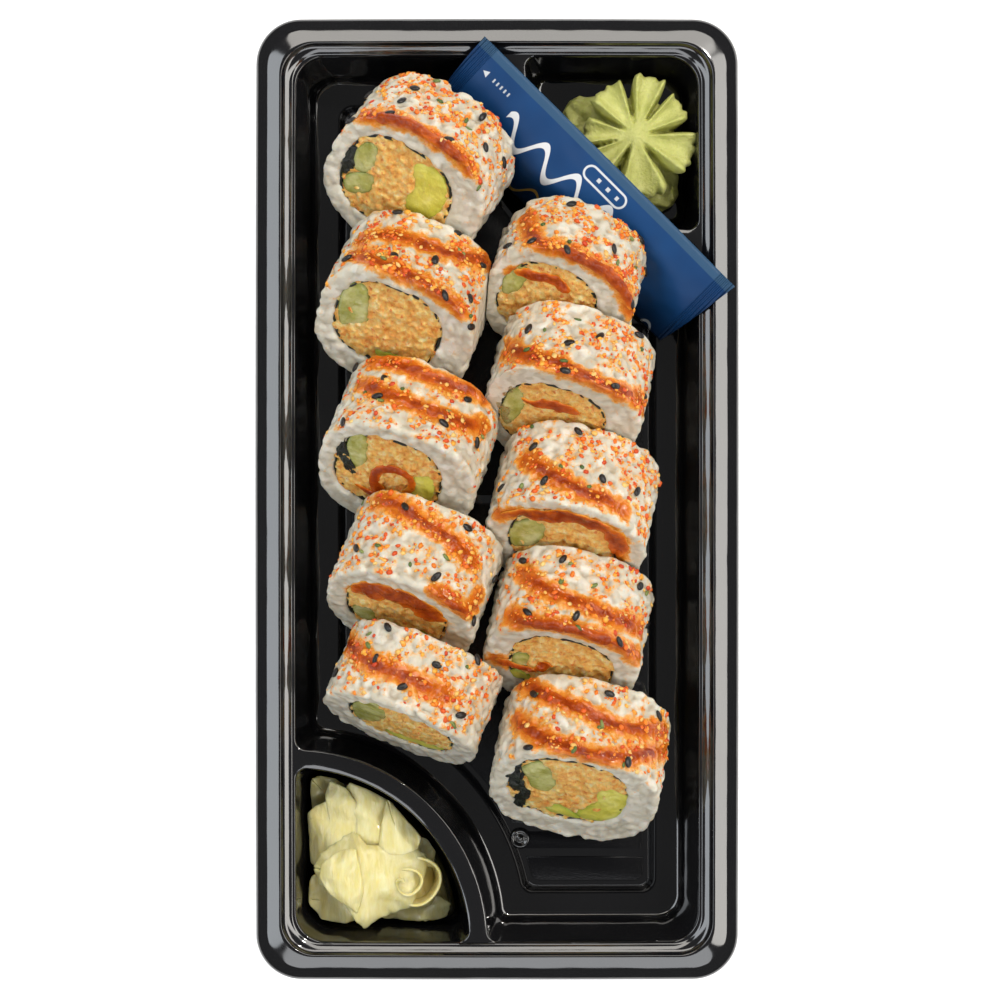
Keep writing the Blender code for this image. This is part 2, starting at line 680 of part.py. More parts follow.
def clear_of_rolls(place, room, frames):
    """Move a point of the sachet out of the rolls, through the back or the side, whichever is nearer."""
    for name in SACHET_NEIGHBOURS:
        roll = ROLLS[name]
        spot = frames[name].inverted() @ place
        half = roll.length / 2 * MM + room
        size = ((abs(spot.x) / (roll.half_width * MM + room)) ** SQUARENESS
                + (abs(spot.y) / (roll.half_height * MM + room)) ** SQUARENESS) ** (1 / SQUARENESS)
        if size >= 1 or abs(spot.z) >= half:
            continue
        flat = Vector((spot.x, spot.y, 0))
        if flat.length * (1 / size - 1) < half + spot.z:
            flat *= 1 / size
            spot = Vector((flat.x, flat.y, spot.z))
        else:
            spot.z = -half
        place.xyz = frames[name] @ spot


def swell(place, size):
    """Return 0 in the seals at both ends of a size, and up to 1 between them."""
    share = (place - SACHET_SEAL) / (size - 2 * SACHET_SEAL)
    if not 0 < share < 1:
        return 0.0
    return math.sin(math.pi * share) ** 0.6


def border(rows):
    """Return the vertex pairs round the edge of a grid of vertices."""
    loop = rows[0][:-1] + [row[-1] for row in rows[:-1]] + rows[-1][:0:-1] + [row[0] for row in rows[:0:-1]]
    return [(loop[i], loop[(i + 1) % len(loop)]) for i in range(len(loop))]


# Wasabi

def petal_shape(angle):
    """Return a direction's place in its petal, 0 at the middle and 1 in the groove, and the petal's reach."""
    best = None
    count = len(PETALS)
    for i, middle in enumerate(PETALS):
        away = (angle - middle + 180) % 360 - 180
        next_gap = (PETALS[(i + 1) % count] - middle) % 360 / 2
        last_gap = (middle - PETALS[(i - 1) % count]) % 360 / 2
        share = away / next_gap if away > 0 else -away / last_gap
        if best is None or share < best[0]:
            best = (share, PETAL_REACH[i] * MM)
    return best


def make_wasabi(finish):
    """Pipe the rope and the rosette, and fuse them."""
    floor = SHEET + GAP
    angles = []
    count = len(PETALS)
    for i, middle in enumerate(PETALS):
        next_gap = (PETALS[(i + 1) % count] - middle) % 360
        angles += [middle + next_gap * share for share in (0, 0.24, 0.4, 0.5, 0.6, 0.76)]
    bm = bmesh.new()
    rings = []
    for share, level, groove in ((0.74, 0, 0.12), (0.84, 0.42, 0.3), (0.96, 0.7, 0.42), (1.0, 0.93, 0.5),
                                 (0.62, 1.0, 0.5), (0.26, 0.97, 0.3)):
        ring = []
        for angle in angles:
            place, reach = petal_shape(angle)
            radius = reach * share * (1 - groove * place ** 8)
            dent = 4.5 * MM * place ** 4 * level * min(share * 1.2, 1)
            height = floor + (PETAL_TOP - floor) * level - dent
            turn = math.radians(angle)
            ring.append(bm.verts.new((WASABI.x + radius * math.sin(turn), WASABI.y + radius * math.cos(turn),
                                      max(height, floor))))
        rings.append(ring)
    skin(bm, rings)
    bm.faces.new(rings[0])
    tip = bm.verts.new((WASABI.x, WASABI.y, PETAL_TOP - 0.9 * MM))
    for i in range(len(rings[-1])):
        bm.faces.new((rings[-1][i], rings[-1][(i + 1) % len(rings[-1])], tip))
    star = link("wasabi", finish_closed(bm), finish)

    bm = bmesh.new()
    along = Vector((1, -1)).normalized()
    middle = WASABI + Vector((-3.2, -3.2)) * MM
    rings = []
    for i in range(15):
        share = -1 + 2 * i / 14
        round_off = math.sqrt(max(1 - abs(share) ** 4, 0.08))
        wave = 1 + 0.12 * math.cos(i * 2.3)
        ring = []
        for j in range(12):
            turn = 2 * math.pi * j / 12
            rib = 1 - 0.16 * (j % 2)
            side = ROPE_RADIUS * round_off * wave * rib * math.cos(turn)
            rise = ROPE_RISE / 2 * (1 + round_off * wave * rib * math.sin(turn))
            spot = middle + along * (share * ROPE_HALF) + Vector((1, 1)).normalized() * side
            ring.append(bm.verts.new((spot.x, spot.y, max(floor + rise - 0.4 * MM, floor + 0.05 * MM * (j % 2)))))
        rings.append(ring)
    skin(bm, rings)
    bm.faces.new(rings[0])
    bm.faces.new(rings[-1])
    fuse(star, [link("wasabi_rope", finish_closed(bm), finish)])
    return star


# Ginger

def keep_in_pocket(place):
    """Move a point of the ginger clear of its pocket's walls and floor."""
    margin = 1.1 * MM + 2.9 * MM * (1 - min(place.z / DECK, 1))
    place.x = max(place.x, -POCKET_X + margin)
    place.y = max(place.y, -POCKET_Y + margin)
    corner = Vector((-POCKET_X, -POCKET_Y, 0))
    flat = Vector((place.x, place.y, 0)) - corner
    if flat.length > RIDGE_INNER - margin:
        flat.length = RIDGE_INNER - margin
        place.x, place.y = corner.x + flat.x, corner.y + flat.y
    place.z = max(place.z, SHEET + GAP)


def ginger_slice(piece, number):
    """Return one thin wavy slice, pointed at its far end, with both faces split alike."""
    bm = bmesh.new()
    rows_long, rows_wide = 5, 3
    sheets = []
    turn = (Matrix.Rotation(math.radians(piece.heading), 4, 'Z') @ Matrix.Rotation(-math.radians(piece.tilt), 4, 'Y')
            @ Matrix.Rotation(math.radians(piece.roll), 4, 'X'))
    shift = Matrix.Translation((piece.x * MM, piece.y * MM, piece.z * MM))
    for face in (1, -1):
        rows = []
        for i in range(rows_long + 1):
            t = i / rows_long
            row = []
            for j in range(rows_wide + 1):
                across = 2 * j / rows_wide - 1
                taper = math.sqrt(max(1 - (2 * t - 1) ** 2 * 0.86, 0.06)) * (1 - 0.25 * t)
                x = (t - 0.5) * piece.length * MM
                y = across * piece.width / 2 * MM * taper
                wave = piece.curl * MM * (0.55 * math.cos(2.6 * t + number) + 0.5 * across ** 2
                                          + 0.3 * math.sin(3.1 * across + 4 * t + number))
                row.append(bm.verts.new((x, y, wave + face * SLICE_SHEET / 2)))
            rows.append(row)
        sheets.append(rows)
        for i in range(rows_long):
            for j in range(rows_wide):
                bm.faces.new((rows[i][j], rows[i + 1][j], rows[i + 1][j + 1]))
                bm.faces.new((rows[i][j], rows[i + 1][j + 1], rows[i][j + 1]))
    for top, bottom in zip(border(sheets[0]), border(sheets[1])):
        bm.faces.new((top[0], top[1], bottom[1], bottom[0]))
    bmesh.ops.transform(bm, matrix=shift @ turn, verts=bm.verts)
    for vert in bm.verts:
        keep_in_pocket(vert.co)
    return finish_closed(bm)


def make_ginger(finish):
    """Heap the slices on a low core, with one slice rolled into a curl, and fuse them."""
    bm = bmesh.new()
    rings = []
    for inset, level in ((7, 0), (7.5, 0.45), (10, 0.8), (14, 1.0)):
        ring = []
        for x, y in side_outline(inset * MM, 1):
            height = SHEET + GAP + level * GINGER_HEAP
            if level:
                height += 0.8 * MM * noise.noise(Vector((x, y, level)) / MM * 0.2)
            ring.append(bm.verts.new((x, y, height)))
        rings.append(ring)
    skin(bm, rings)
    bm.faces.new(rings[0])
    bm.faces.new(rings[-1])
    heap = link("ginger", finish_closed(bm), finish)
    extras = [link("slice_%d" % i, ginger_slice(piece, i), finish) for i, piece in enumerate(SLICES)]

    bm = bmesh.new()
    rings = []
    for i, (share, level) in enumerate(((0.9, 0), (1.0, 0.5), (0.92, 0.86), (0.6, 1.0), (0.46, 0.84), (0.24, 0.96))):
        ring = []
        for j in range(14):
            turn = 2 * math.pi * j / 14
            wobble = 1 + 0.06 * math.sin(3 * turn + i)
            ring.append(bm.verts.new((CURL.x + CURL_SIZE[0] * share * wobble * math.cos(turn),
                                      CURL.y + CURL_SIZE[1] * share * wobble * math.sin(turn),
                                      CURL.z + CURL_SIZE[2] * level + 0.7 * MM * math.sin(turn))))
        rings.append(ring)
    skin(bm, rings)
    bm.faces.new(rings[0])
    bm.faces.new(rings[-1])
    for vert in bm.verts:
        keep_in_pocket(vert.co)
    extras.append(link("curl", finish_closed(bm), finish))
    fuse(heap, extras)
    return heap


def build():
    """Build the tray and all that is in it."""
    reset()
    finishes = {
        "rice": material("rice", (0.86, 0.80, 0.66), 0.45),
        "nori": material("nori", (0.015, 0.02, 0.012), 0.5),
        "crab": material("crab", (0.80, 0.47, 0.20), 0.5),
        "cucumber": material("cucumber", (0.60, 0.64, 0.30), 0.35),
        "avocado": material("avocado", (0.58, 0.62, 0.16), 0.4),
    }
    make_tray(material("tray", (0.012, 0.012, 0.013), 0.12))
    frames = {name: roll_matrix(roll) for name, roll in ROLLS.items()}
    planes = pressing_planes({name: envelope(ROLLS[name], frames[name]) for name in ROLLS})
    for number, name in enumerate(ROLLS):
        make_roll(name, frames[name], planes[name], finishes, random.Random(40 + number))
    make_sachet(material("sachet", (0.02, 0.07, 0.19), 0.3), frames)
    make_wasabi(material("wasabi", (0.62, 0.66, 0.30), 0.55))
    make_ginger(material("ginger", (0.86, 0.80, 0.46), 0.35))


build()
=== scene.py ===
"""A takeaway tray of sushi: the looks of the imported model, in metres, +Z up, seen from straight above."""

import math
import random

import bmesh
import bpy
import numpy as np
from mathutils import Matrix, Vector, noise
from mathutils.bvhtree import BVHTree
from mathutils.kdtree import KDTree


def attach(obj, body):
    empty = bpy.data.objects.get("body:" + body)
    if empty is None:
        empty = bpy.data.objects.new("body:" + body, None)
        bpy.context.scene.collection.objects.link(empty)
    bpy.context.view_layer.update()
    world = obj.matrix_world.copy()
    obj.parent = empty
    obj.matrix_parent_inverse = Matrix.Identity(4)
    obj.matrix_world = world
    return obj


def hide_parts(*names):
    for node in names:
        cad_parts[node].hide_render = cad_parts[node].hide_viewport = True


MM = 0.001

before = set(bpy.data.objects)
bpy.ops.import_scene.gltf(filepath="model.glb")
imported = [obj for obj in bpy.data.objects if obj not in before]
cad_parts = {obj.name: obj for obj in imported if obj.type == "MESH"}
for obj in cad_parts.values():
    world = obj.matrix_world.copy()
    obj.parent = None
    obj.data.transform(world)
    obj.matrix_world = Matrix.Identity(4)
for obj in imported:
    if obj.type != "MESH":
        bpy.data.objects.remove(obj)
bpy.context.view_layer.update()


# Studio: a pale table under a dim room, with a large soft light on each side of the tray and two
# narrower ones at its ends. The camera looks straight down, from 750 mm above the tray's rim.

camera = bpy.data.objects.new("camera", bpy.data.cameras.new("camera"))
camera.data.sensor_width = 36
camera.data.lens = 113.5
camera.data.clip_start = 0.05
camera.location = (0.0007, -0.0002, 0.774)
bpy.context.scene.collection.objects.link(camera)
bpy.context.scene.camera = camera
bpy.context.scene.view_settings.view_transform = 'Standard'

table = bmesh.new()
bmesh.ops.create_grid(table, x_segments=8, y_segments=8, size=1.6)
bmesh.ops.translate(table, vec=(0, 0, -0.0003), verts=table.verts)
table_mesh = bpy.data.meshes.new("table")
table.to_mesh(table_mesh)
table.free()
table_top = bpy.data.objects.new("table", table_mesh)
bpy.context.scene.collection.objects.link(table_top)
table_finish = bpy.data.materials.new("table_top")
table_finish.use_nodes = True
table_shader = table_finish.node_tree.nodes["Principled BSDF"]
table_shader.inputs["Base Color"].default_value = (0.93, 0.93, 0.93, 1)
table_shader.inputs["Roughness"].default_value = 0.8
table_shader.inputs["Emission Color"].default_value = (1, 1, 1, 1)
table_shader.inputs["Emission Strength"].default_value = 0.6
table_mesh.materials.append(table_finish)

# name, place, size, power, colour
for name, place, size, power, colour in (
        ("left", (-0.71, 0.02, 0.83), (1.1, 0.42), 4.4, (0.90, 0.95, 1.0)),
        ("right", (0.71, 0.02, 0.83), (1.1, 0.38), 5.8, (1.0, 0.97, 0.92)),
        ("far", (0.05, 0.72, 0.82), (1.0, 0.42), 4.6, (1.0, 0.96, 0.90)),
        ("near", (0.0, -0.72, 0.82), (1.0, 0.42), 3.2, (0.95, 0.97, 1.0)),
        ("spark", (0.32, 0.42, 0.70), (0.05, 0.05), 1.5, (1.0, 0.97, 0.92))):
    lamp = bpy.data.lights.new("light_" + name, 'AREA')
    lamp.shape = 'RECTANGLE'
    lamp.size, lamp.size_y = size
    lamp.energy = power
    lamp.color = colour
    lamp_object = bpy.data.objects.new("light_" + name, lamp)
    lamp_object.location = place
    lamp_object.rotation_euler = (-Vector(place)).to_track_quat('-Z', 'Y').to_euler()
    bpy.context.scene.collection.objects.link(lamp_object)
room = bpy.data.worlds.new("room")
room.use_nodes = True
room.node_tree.nodes["Background"].inputs["Color"].default_value = (1, 1, 1, 1)
room.node_tree.nodes["Background"].inputs["Strength"].default_value = 0.10
bpy.context.scene.world = room


# Tray: one sheet of glossy black plastic, drawn over a mould into a beaded rim, two quarter-round
# pockets at opposite corners and a long pocket with a raised floor. Formed as one surface with smooth
# fillets, and given the sheet's thickness underneath.

TRAY_WIDTH, TRAY_LENGTH = 115.2 * MM, 229.5 * MM
TRAY_CORNER = 10.7 * MM
SIDE_BOW, END_BOW = 0.25 * MM, 0.2 * MM
DECK, PLATFORM, SHEET = 21.9 * MM, 3.0 * MM, 0.8 * MM
POCKET_X, POCKET_Y = 48.1 * MM, 105.6 * MM
RIDGE_INNER, RIDGE_OUTER = 41.6 * MM, 45.7 * MM
POCKET_CORNER, RIDGE_FILLET = 7.0 * MM, 2.6 * MM
RIM_PROFILE = [(0, 19.8), (0.25, 21.0), (1.7, 22.1), (2.6, 22.8), (3.3, 23.1), (6.0, 23.99), (6.4, 23.85),
               (6.8, 22.95), (8.1, 22.45), (8.8, 21.9), (9.1, 21.9)]
MAIN_PROFILE = [(-0.1, 21.9), (0.2, 21.7), (2.9, 2.2), (3.5, 1.2), (4.4, 0.8), (9.8, 0.8), (10.6, 2.5),
                (11.2, 3.0), (12.0, 3.0)]
SIDE_PROFILE = [(-0.1, 21.9), (0.2, 21.7), (2.4, 2.2), (3.0, 1.2), (4.0, 0.8), (5.0, 0.8)]


def sheet_of_quads(bm, columns, rows, place):
    """Lay a grid of quads where place(column, row) says; the callers close it where its edges meet."""
    grid = bmesh.ops.create_grid(bm, x_segments=columns, y_segments=rows, size=1.0)
    for vert in grid["verts"]:
        vert.co = place(round((vert.co.x + 1) / 2 * columns), round((vert.co.y + 1) / 2 * rows))
    return grid["verts"]


def piece(name, bm, finish, smooth=True):
    """Turn a bmesh in world coordinates into a piece of the object, with its finish."""
    mesh = bpy.data.meshes.new(name)
    bm.to_mesh(mesh)
    bm.free()
    mesh.materials.append(finish)
    made = bpy.data.objects.new(name, mesh)
    bpy.context.scene.collection.objects.link(made)
    if smooth:
        mesh.shade_smooth()
    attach(made, "root")
    return made


def start_finish(name, colour, roughness):
    """Start a finish: its material, nodes, links, Principled shader and Object coordinates."""
    made = bpy.data.materials.new(name)
    made.use_nodes = True
    nodes = made.node_tree.nodes
    shader = nodes["Principled BSDF"]
    shader.inputs["Base Color"].default_value = (*colour, 1)
    shader.inputs["Roughness"].default_value = roughness
    return made, nodes, made.node_tree.links, shader, nodes.new("ShaderNodeTexCoord").outputs["Object"]


def noise_field(nodes, links, where, scale, detail=3.0, roughness=0.55):
    """Add a noise of so many lumps a metre and return its value."""
    field = nodes.new("ShaderNodeTexNoise")
    field.inputs["Scale"].default_value = scale
    field.inputs["Detail"].default_value = detail
    field.inputs["Roughness"].default_value = roughness
    links.new(where, field.inputs["Vector"])
    return field.outputs["Fac"]


def ramp(nodes, links, value, *stops):
    """Add a colour ramp through (position, colour) stops and return its colour."""
    made = nodes.new("ShaderNodeValToRGB")
    made.color_ramp.elements[0].position, made.color_ramp.elements[0].color = stops[0][0], (*stops[0][1], 1)
    made.color_ramp.elements[1].position, made.color_ramp.elements[1].color = stops[-1][0], (*stops[-1][1], 1)
    for position, colour in stops[1:-1]:
        made.color_ramp.elements.new(position).color = (*colour, 1)
    links.new(value, made.inputs["Fac"])
    return made.outputs["Color"]


def blend(nodes, links, mask, first, second, how='MIX'):
    """Mix two colours, each a socket or three numbers, by a mask, and return the result."""
    made = nodes.new("ShaderNodeMix")
    made.data_type = 'RGBA'
    made.blend_type = how
    for socket, value in ((made.inputs[0], mask), (made.inputs[6], first), (made.inputs[7], second)):
        if isinstance(value, bpy.types.NodeSocket):
            links.new(value, socket)
        else:
            socket.default_value = (*value, 1) if isinstance(value, tuple) else value
    return made.outputs[2]


def relief(nodes, links, height, distance, strength=1.0, under=None):
    """Add a bump from a height and return its normal."""
    made = nodes.new("ShaderNodeBump")
    made.inputs["Distance"].default_value = distance
    made.inputs["Strength"].default_value = strength
    links.new(height, made.inputs["Height"])
    if under is not None:
        links.new(under, made.inputs["Normal"])
    return made.outputs["Normal"]


def arc(centre_x, centre_y, radius, start, end, steps):
    """Return the points of an arc, both ends included, for angles in degrees."""
    angles = [math.radians(start + (end - start) * i / steps) for i in range(steps + 1)]
    return [(centre_x + radius * math.cos(a), centre_y + radius * math.sin(a)) for a in angles]


def between(first, last, count):
    """Return evenly spaced points between two points, both left out."""
    return [(first[0] + (last[0] - first[0]) * i / (count + 1),
             first[1] + (last[1] - first[1]) * i / (count + 1)) for i in range(1, count + 1)]


def rim_outline(inset):
    """Return the tray's rounded rectangle at a distance in from its lip."""
    half_x, half_y = TRAY_WIDTH / 2 - inset, TRAY_LENGTH / 2 - inset
    radius = TRAY_CORNER - 0.42 * inset
    corners = [arc(sx * (half_x - radius), sy * (half_y - radius), radius, start, start + 90, 16)
               for sx, sy, start in ((1, -1, -90), (1, 1, 0), (-1, 1, 90), (-1, -1, 180))]
    outline = []
    for i, corner in enumerate(corners):
        outline += corner + between(corner[-1], corners[(i + 1) % 4][0], 24 if i % 2 == 0 else 12)
    return outline


def main_outline(inset):
    """Return the long pocket: a rectangle without the quarter discs of the small pockets."""
    reach, side = RIDGE_OUTER + inset, inset + RIDGE_FILLET
    along = math.sqrt((reach + RIDGE_FILLET) ** 2 - side ** 2)
    lean = math.degrees(math.atan2(side, along))
    radius = max(POCKET_CORNER - 0.4 * inset, 2.5 * MM)
    wall_x, wall_y = POCKET_X - inset, POCKET_Y - inset
    start = (-POCKET_X + along, -wall_y)
    corner = arc(wall_x - radius, -(wall_y - radius), radius, -90, 0, 14)
    lower = arc(wall_x - RIDGE_FILLET, POCKET_Y - along, RIDGE_FILLET, 0, 90 - lean, 8)
    ring = arc(POCKET_X, POCKET_Y, reach, 270 - lean, 180 + lean, 30)[1:-1]
    upper = arc(POCKET_X - along, wall_y - RIDGE_FILLET, RIDGE_FILLET, lean, 90, 8)
    half = [start] + between(start, corner[0], 8) + corner + between(corner[-1], lower[0], 24) + lower + ring + upper
    half = half[:-1]
    return half + [(-x, -y) for x, y in half]


def side_outline(inset, sign):
    """Return a small pocket's quarter disc, the ginger's for sign 1 and the wasabi's for sign -1."""
    reach, side = RIDGE_INNER - inset, inset + RIDGE_FILLET
    along = math.sqrt((reach - RIDGE_FILLET) ** 2 - side ** 2)
    lean = math.degrees(math.atan2(side, along))
    radius = max(POCKET_CORNER - 0.4 * inset, 2.5 * MM)
    corner = arc(-POCKET_X + inset + radius, -POCKET_Y + inset + radius, radius, 180, 270, 12)
    first = arc(-POCKET_X + along, -POCKET_Y + side, RIDGE_FILLET, 270, 360 + lean, 8)
    last = arc(-POCKET_X + side, -POCKET_Y + along, RIDGE_FILLET, 90 - lean, 180, 8)
    outline = corner + between(corner[-1], first[0], 8) + first
    outline += arc(-POCKET_X, -POCKET_Y, reach, lean, 90 - lean, 30)[1:-1] + last + between(last[-1], corner[0], 8)
    return [(sign * x, sign * y) for x, y in outline]


def rounded_profile(points, radius, steps=5):
    """Round the corners of a profile with short parabolas."""
    points = [Vector(point) for point in points]
    made = [points[0]]
    for before, corner, after in zip(points, points[1:], points[2:]):
        into, out = corner - before, after - corner
        first = corner - into.normalized() * min(radius, into.length * 0.46)
        last = corner + out.normalized() * min(radius, out.length * 0.46)
        for i in range(steps + 1):
            t = i / steps
            made.append(first * (1 - t) ** 2 + corner * 2 * t * (1 - t) + last * t ** 2)
    return made + [points[-1]]


def formed_wall(bm, outline, profile):
    """Loft an outline along a profile of (inset, height) in millimetres."""
    rings = [[Vector((x, y, spot.y * MM)) for x, y in outline(spot.x * MM)] for spot in profile]
    count = len(rings[0])
    sheet_of_quads(bm, count, len(rings) - 1, lambda i, j: rings[j][i % count])


tray_bm = bmesh.new()
formed_wall(tray_bm, rim_outline, rounded_profile(RIM_PROFILE, 0.7))
formed_wall(tray_bm, main_outline, rounded_profile(MAIN_PROFILE, 1.0))
for sign in (1, -1):
    formed_wall(tray_bm, lambda inset: side_outline(inset, sign), rounded_profile(SIDE_PROFILE, 1.0))
bmesh.ops.remove_doubles(tray_bm, verts=tray_bm.verts, dist=0.00001)
open_edges = [edge for edge in tray_bm.edges if len(edge.link_faces) == 1]
deck_edges = [edge for edge in open_edges if all(abs(vert.co.z - DECK) < 1e-6 for vert in edge.verts)]
bmesh.ops.triangle_fill(tray_bm, use_beauty=True, use_dissolve=False, edges=deck_edges, normal=(0, 0, 1))
floor_edges = [edge for edge in open_edges if all(vert.co.z < 4 * MM for vert in edge.verts)]
bmesh.ops.triangle_fill(tray_bm, use_beauty=True, use_dissolve=False, edges=floor_edges, normal=(0, 0, 1))
bmesh.ops.recalc_face_normals(tray_bm, faces=tray_bm.faces)
if sum(face.normal.z for face in tray_bm.faces) < 0:
    bmesh.ops.reverse_faces(tray_bm, faces=tray_bm.faces)
for vert in tray_bm.verts:
    x, y = vert.co.x, vert.co.y
    vert.co.x *= 1 + SIDE_BOW / (TRAY_WIDTH / 2) * (1 - (y / (TRAY_LENGTH / 2)) ** 2)
    vert.co.y *= 1 + END_BOW / (TRAY_LENGTH / 2) * (1 - (x / (TRAY_WIDTH / 2)) ** 2)

black_plastic, nodes, links, shader, where = start_finish("black_plastic", (0.006, 0.006, 0.007), 0.08)
shader.inputs["IOR"].default_value = 1.7
shader.inputs["Specular IOR Level"].default_value = 0.75
sheen = ramp(nodes, links, noise_field(nodes, links, where, 45, 4), (0.35, (0.06,) * 3), (0.7, (0.13,) * 3))
links.new(sheen, shader.inputs["Roughness"])
ripple = noise_field(nodes, links, where, 60, 2)
links.new(relief(nodes, links, ripple, 0.00035), shader.inputs["Normal"])
tray = piece("tray_sheet", tray_bm, black_plastic)
thickness = tray.modifiers.new("sheet", 'SOLIDIFY')
thickness.thickness = SHEET
thickness.offset = -1
pads_bm = bmesh.new()
pad = bmesh.ops.create_circle(pads_bm, cap_ends=True, segments=len(main_outline(0)), radius=1)
for vert, (x, y) in zip(pad["verts"], main_outline(12.4 * MM)):
    vert.co = (x, y, PLATFORM - 0.2 * MM)
pads_top = bmesh.ops.extrude_face_region(pads_bm, geom=pads_bm.faces[:])
bmesh.ops.translate(pads_bm, vec=(0, 0, 0.55 * MM), verts=[v for v in pads_top["geom"] if isinstance(v, bmesh.types.BMVert)])
for groove in (-86.3, -80.2, -44, 0, 44):
    for side in (-1, 1):
        bmesh.ops.bisect_plane(pads_bm, geom=pads_bm.verts[:] + pads_bm.edges[:] + pads_bm.faces[:], dist=1e-7,
                               plane_co=(0, (groove + side) * MM, 0), plane_no=(0, 1, 0))
grooved = [face for face in pads_bm.faces
           if any(abs(face.calc_center_median().y / MM - groove) < 0.99 for groove in (-86.3, -80.2, -44, 0, 44))]
bmesh.ops.delete(pads_bm, geom=grooved, context='FACES')
bmesh.ops.holes_fill(pads_bm, edges=[edge for edge in pads_bm.edges if len(edge.link_faces) == 1], sides=0)
bmesh.ops.recalc_face_normals(pads_bm, faces=pads_bm.faces)
top_edges = [edge for edge in pads_bm.edges if all(vert.co.z > PLATFORM for vert in edge.verts)
             and edge.calc_face_angle(0) > 0.8]
bmesh.ops.bevel(pads_bm, geom=top_edges, offset=0.25 * MM, offset_type='OFFSET', segments=3, profile=0.5,
                affect='EDGES', material=-1)
satin_plastic, nodes, links, shader, where = start_finish("satin_plastic", (0.005, 0.005, 0.006), 0.22)
shader.inputs["Specular IOR Level"].default_value = 0.35
links.new(relief(nodes, links, noise_field(nodes, links, where, 2500, 2), 0.00005), shader.inputs["Normal"])
pads = piece("tray_floor_panels", pads_bm, satin_plastic)
boss_bm = bmesh.new()
BOSS = [(0, 0.75), (0.5, 0.7), (0.9, 0.15), (1.3, 0.15), (1.7, 0.7), (2.1, 0.7), (2.6, 0.0)]
sheet_of_quads(boss_bm, 40, len(BOSS) - 1, lambda i, j: Vector((
    (5.6 + BOSS[j][0] * math.cos(math.pi * i / 20)) * MM, (-82.9 + BOSS[j][0] * math.sin(math.pi * i / 20)) * MM,
    PLATFORM + (0.3 + BOSS[j][1]) * MM)))
bmesh.ops.remove_doubles(boss_bm, verts=boss_bm.verts, dist=0.00001)
bmesh.ops.recalc_face_normals(boss_bm, faces=boss_bm.faces)
boss = piece("tray_moulded_mark", boss_bm, black_plastic)
for made in (tray, pads, boss):
    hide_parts("tray")


# Rice: each roll is a ring of pressed sushi rice, grain on grain, made as a smooth ring with single
# grains laid all over it and melted together. Rolls that lean on each other are flattened there.

# place of the middle, turn, tilt of the cut face, spin, half width, half height, length
ROLLS = {
    "left_1": (-18.5, 78.5, -32, 46, 0, 20.3, 19.3, 21.5), "left_2": (-21.4, 46.5, -22, 42, 0, 19.5, 19.3, 23.0),
    "left_3": (-20.9, 12.6, -20, 38, 0, 19.5, 19.3, 23.5), "left_4": (-19.5, -18.3, -21, 28, 0, 18.8, 18.8, 23.5),
    "left_5": (-20.0, -45.9, -22, 18, 0, 19.6, 18.8, 20.0), "right_1": (15.8, 52.0, -18, 42, 14, 17.9, 18.4, 19.5),
    "right_2": (17.1, 26.8, -14, 36, 7, 19.0, 18.8, 23.0), "right_3": (17.8, -2.1, -13, 34, 5, 19.4, 18.8, 24.0),
    "right_4": (16.8, -30.6, -12, 33, 6, 18.8, 18.8, 23.5), "right_5": (19.7, -61.5, -11, 36, 4, 20.4, 19.3, 22.5),
}
RICE_RING = 6.4 * MM
# where the middle of the fillings lies in each roll, from the roll's middle
CORES = {"left_1": (-2.0, -0.5), "left_2": (-2.0, 1.2), "left_3": (-2.2, 0.8), "left_4": (-1.0, 0.0),
         "left_5": (0.3, 1.5), "right_1": (-2.2, -0.5), "right_2": (-2.2, -0.5), "right_3": (-0.5, 1.5),
         "right_4": (0.0, 0.3), "right_5": (-1.8, 1.5)}
GRAIN = (4.9 * MM, 2.3 * MM, 2.1 * MM)
GAP = 0.35 * MM


def roll_frame(name):
    """Return a roll's frame: X to its side, Y to its top and Z out of its cut face."""
    x, y, yaw, tilt, spin, _, half_height, length = ROLLS[name]
    yaw, tilt = math.radians(yaw), math.radians(tilt)
    axis = Vector((math.sin(yaw) * math.cos(tilt), -math.cos(yaw) * math.cos(tilt), math.sin(tilt)))
    side = Vector((math.cos(yaw), math.sin(yaw), 0))
    height = PLATFORM + (length / 2 * math.sin(tilt) + half_height * math.cos(tilt)) * MM
    turned = Matrix((side, axis.cross(side), axis)).transposed().to_4x4()
    return Matrix.Translation((x * MM, y * MM, height)) @ turned @ Matrix.Rotation(-math.radians(spin), 4, 'Z')


def round_square(name, angle, inset):
    """Return the roll's outline at an angle from the top and a distance in, in its own X and Y."""
    across = math.copysign(abs(math.sin(angle)) ** 0.8, math.sin(angle))
    up = math.copysign(abs(math.cos(angle)) ** 0.8, math.cos(angle))
    return across * (ROLLS[name][5] * MM - inset), up * (ROLLS[name][6] * MM - inset)


def core_point(name, angle, inset):
    """Return a point of an outline round the fillings, which lie off the roll's middle."""
    x, y = round_square(name, angle, inset)
    return x + CORES[name][0] * MM, y + CORES[name][1] * MM


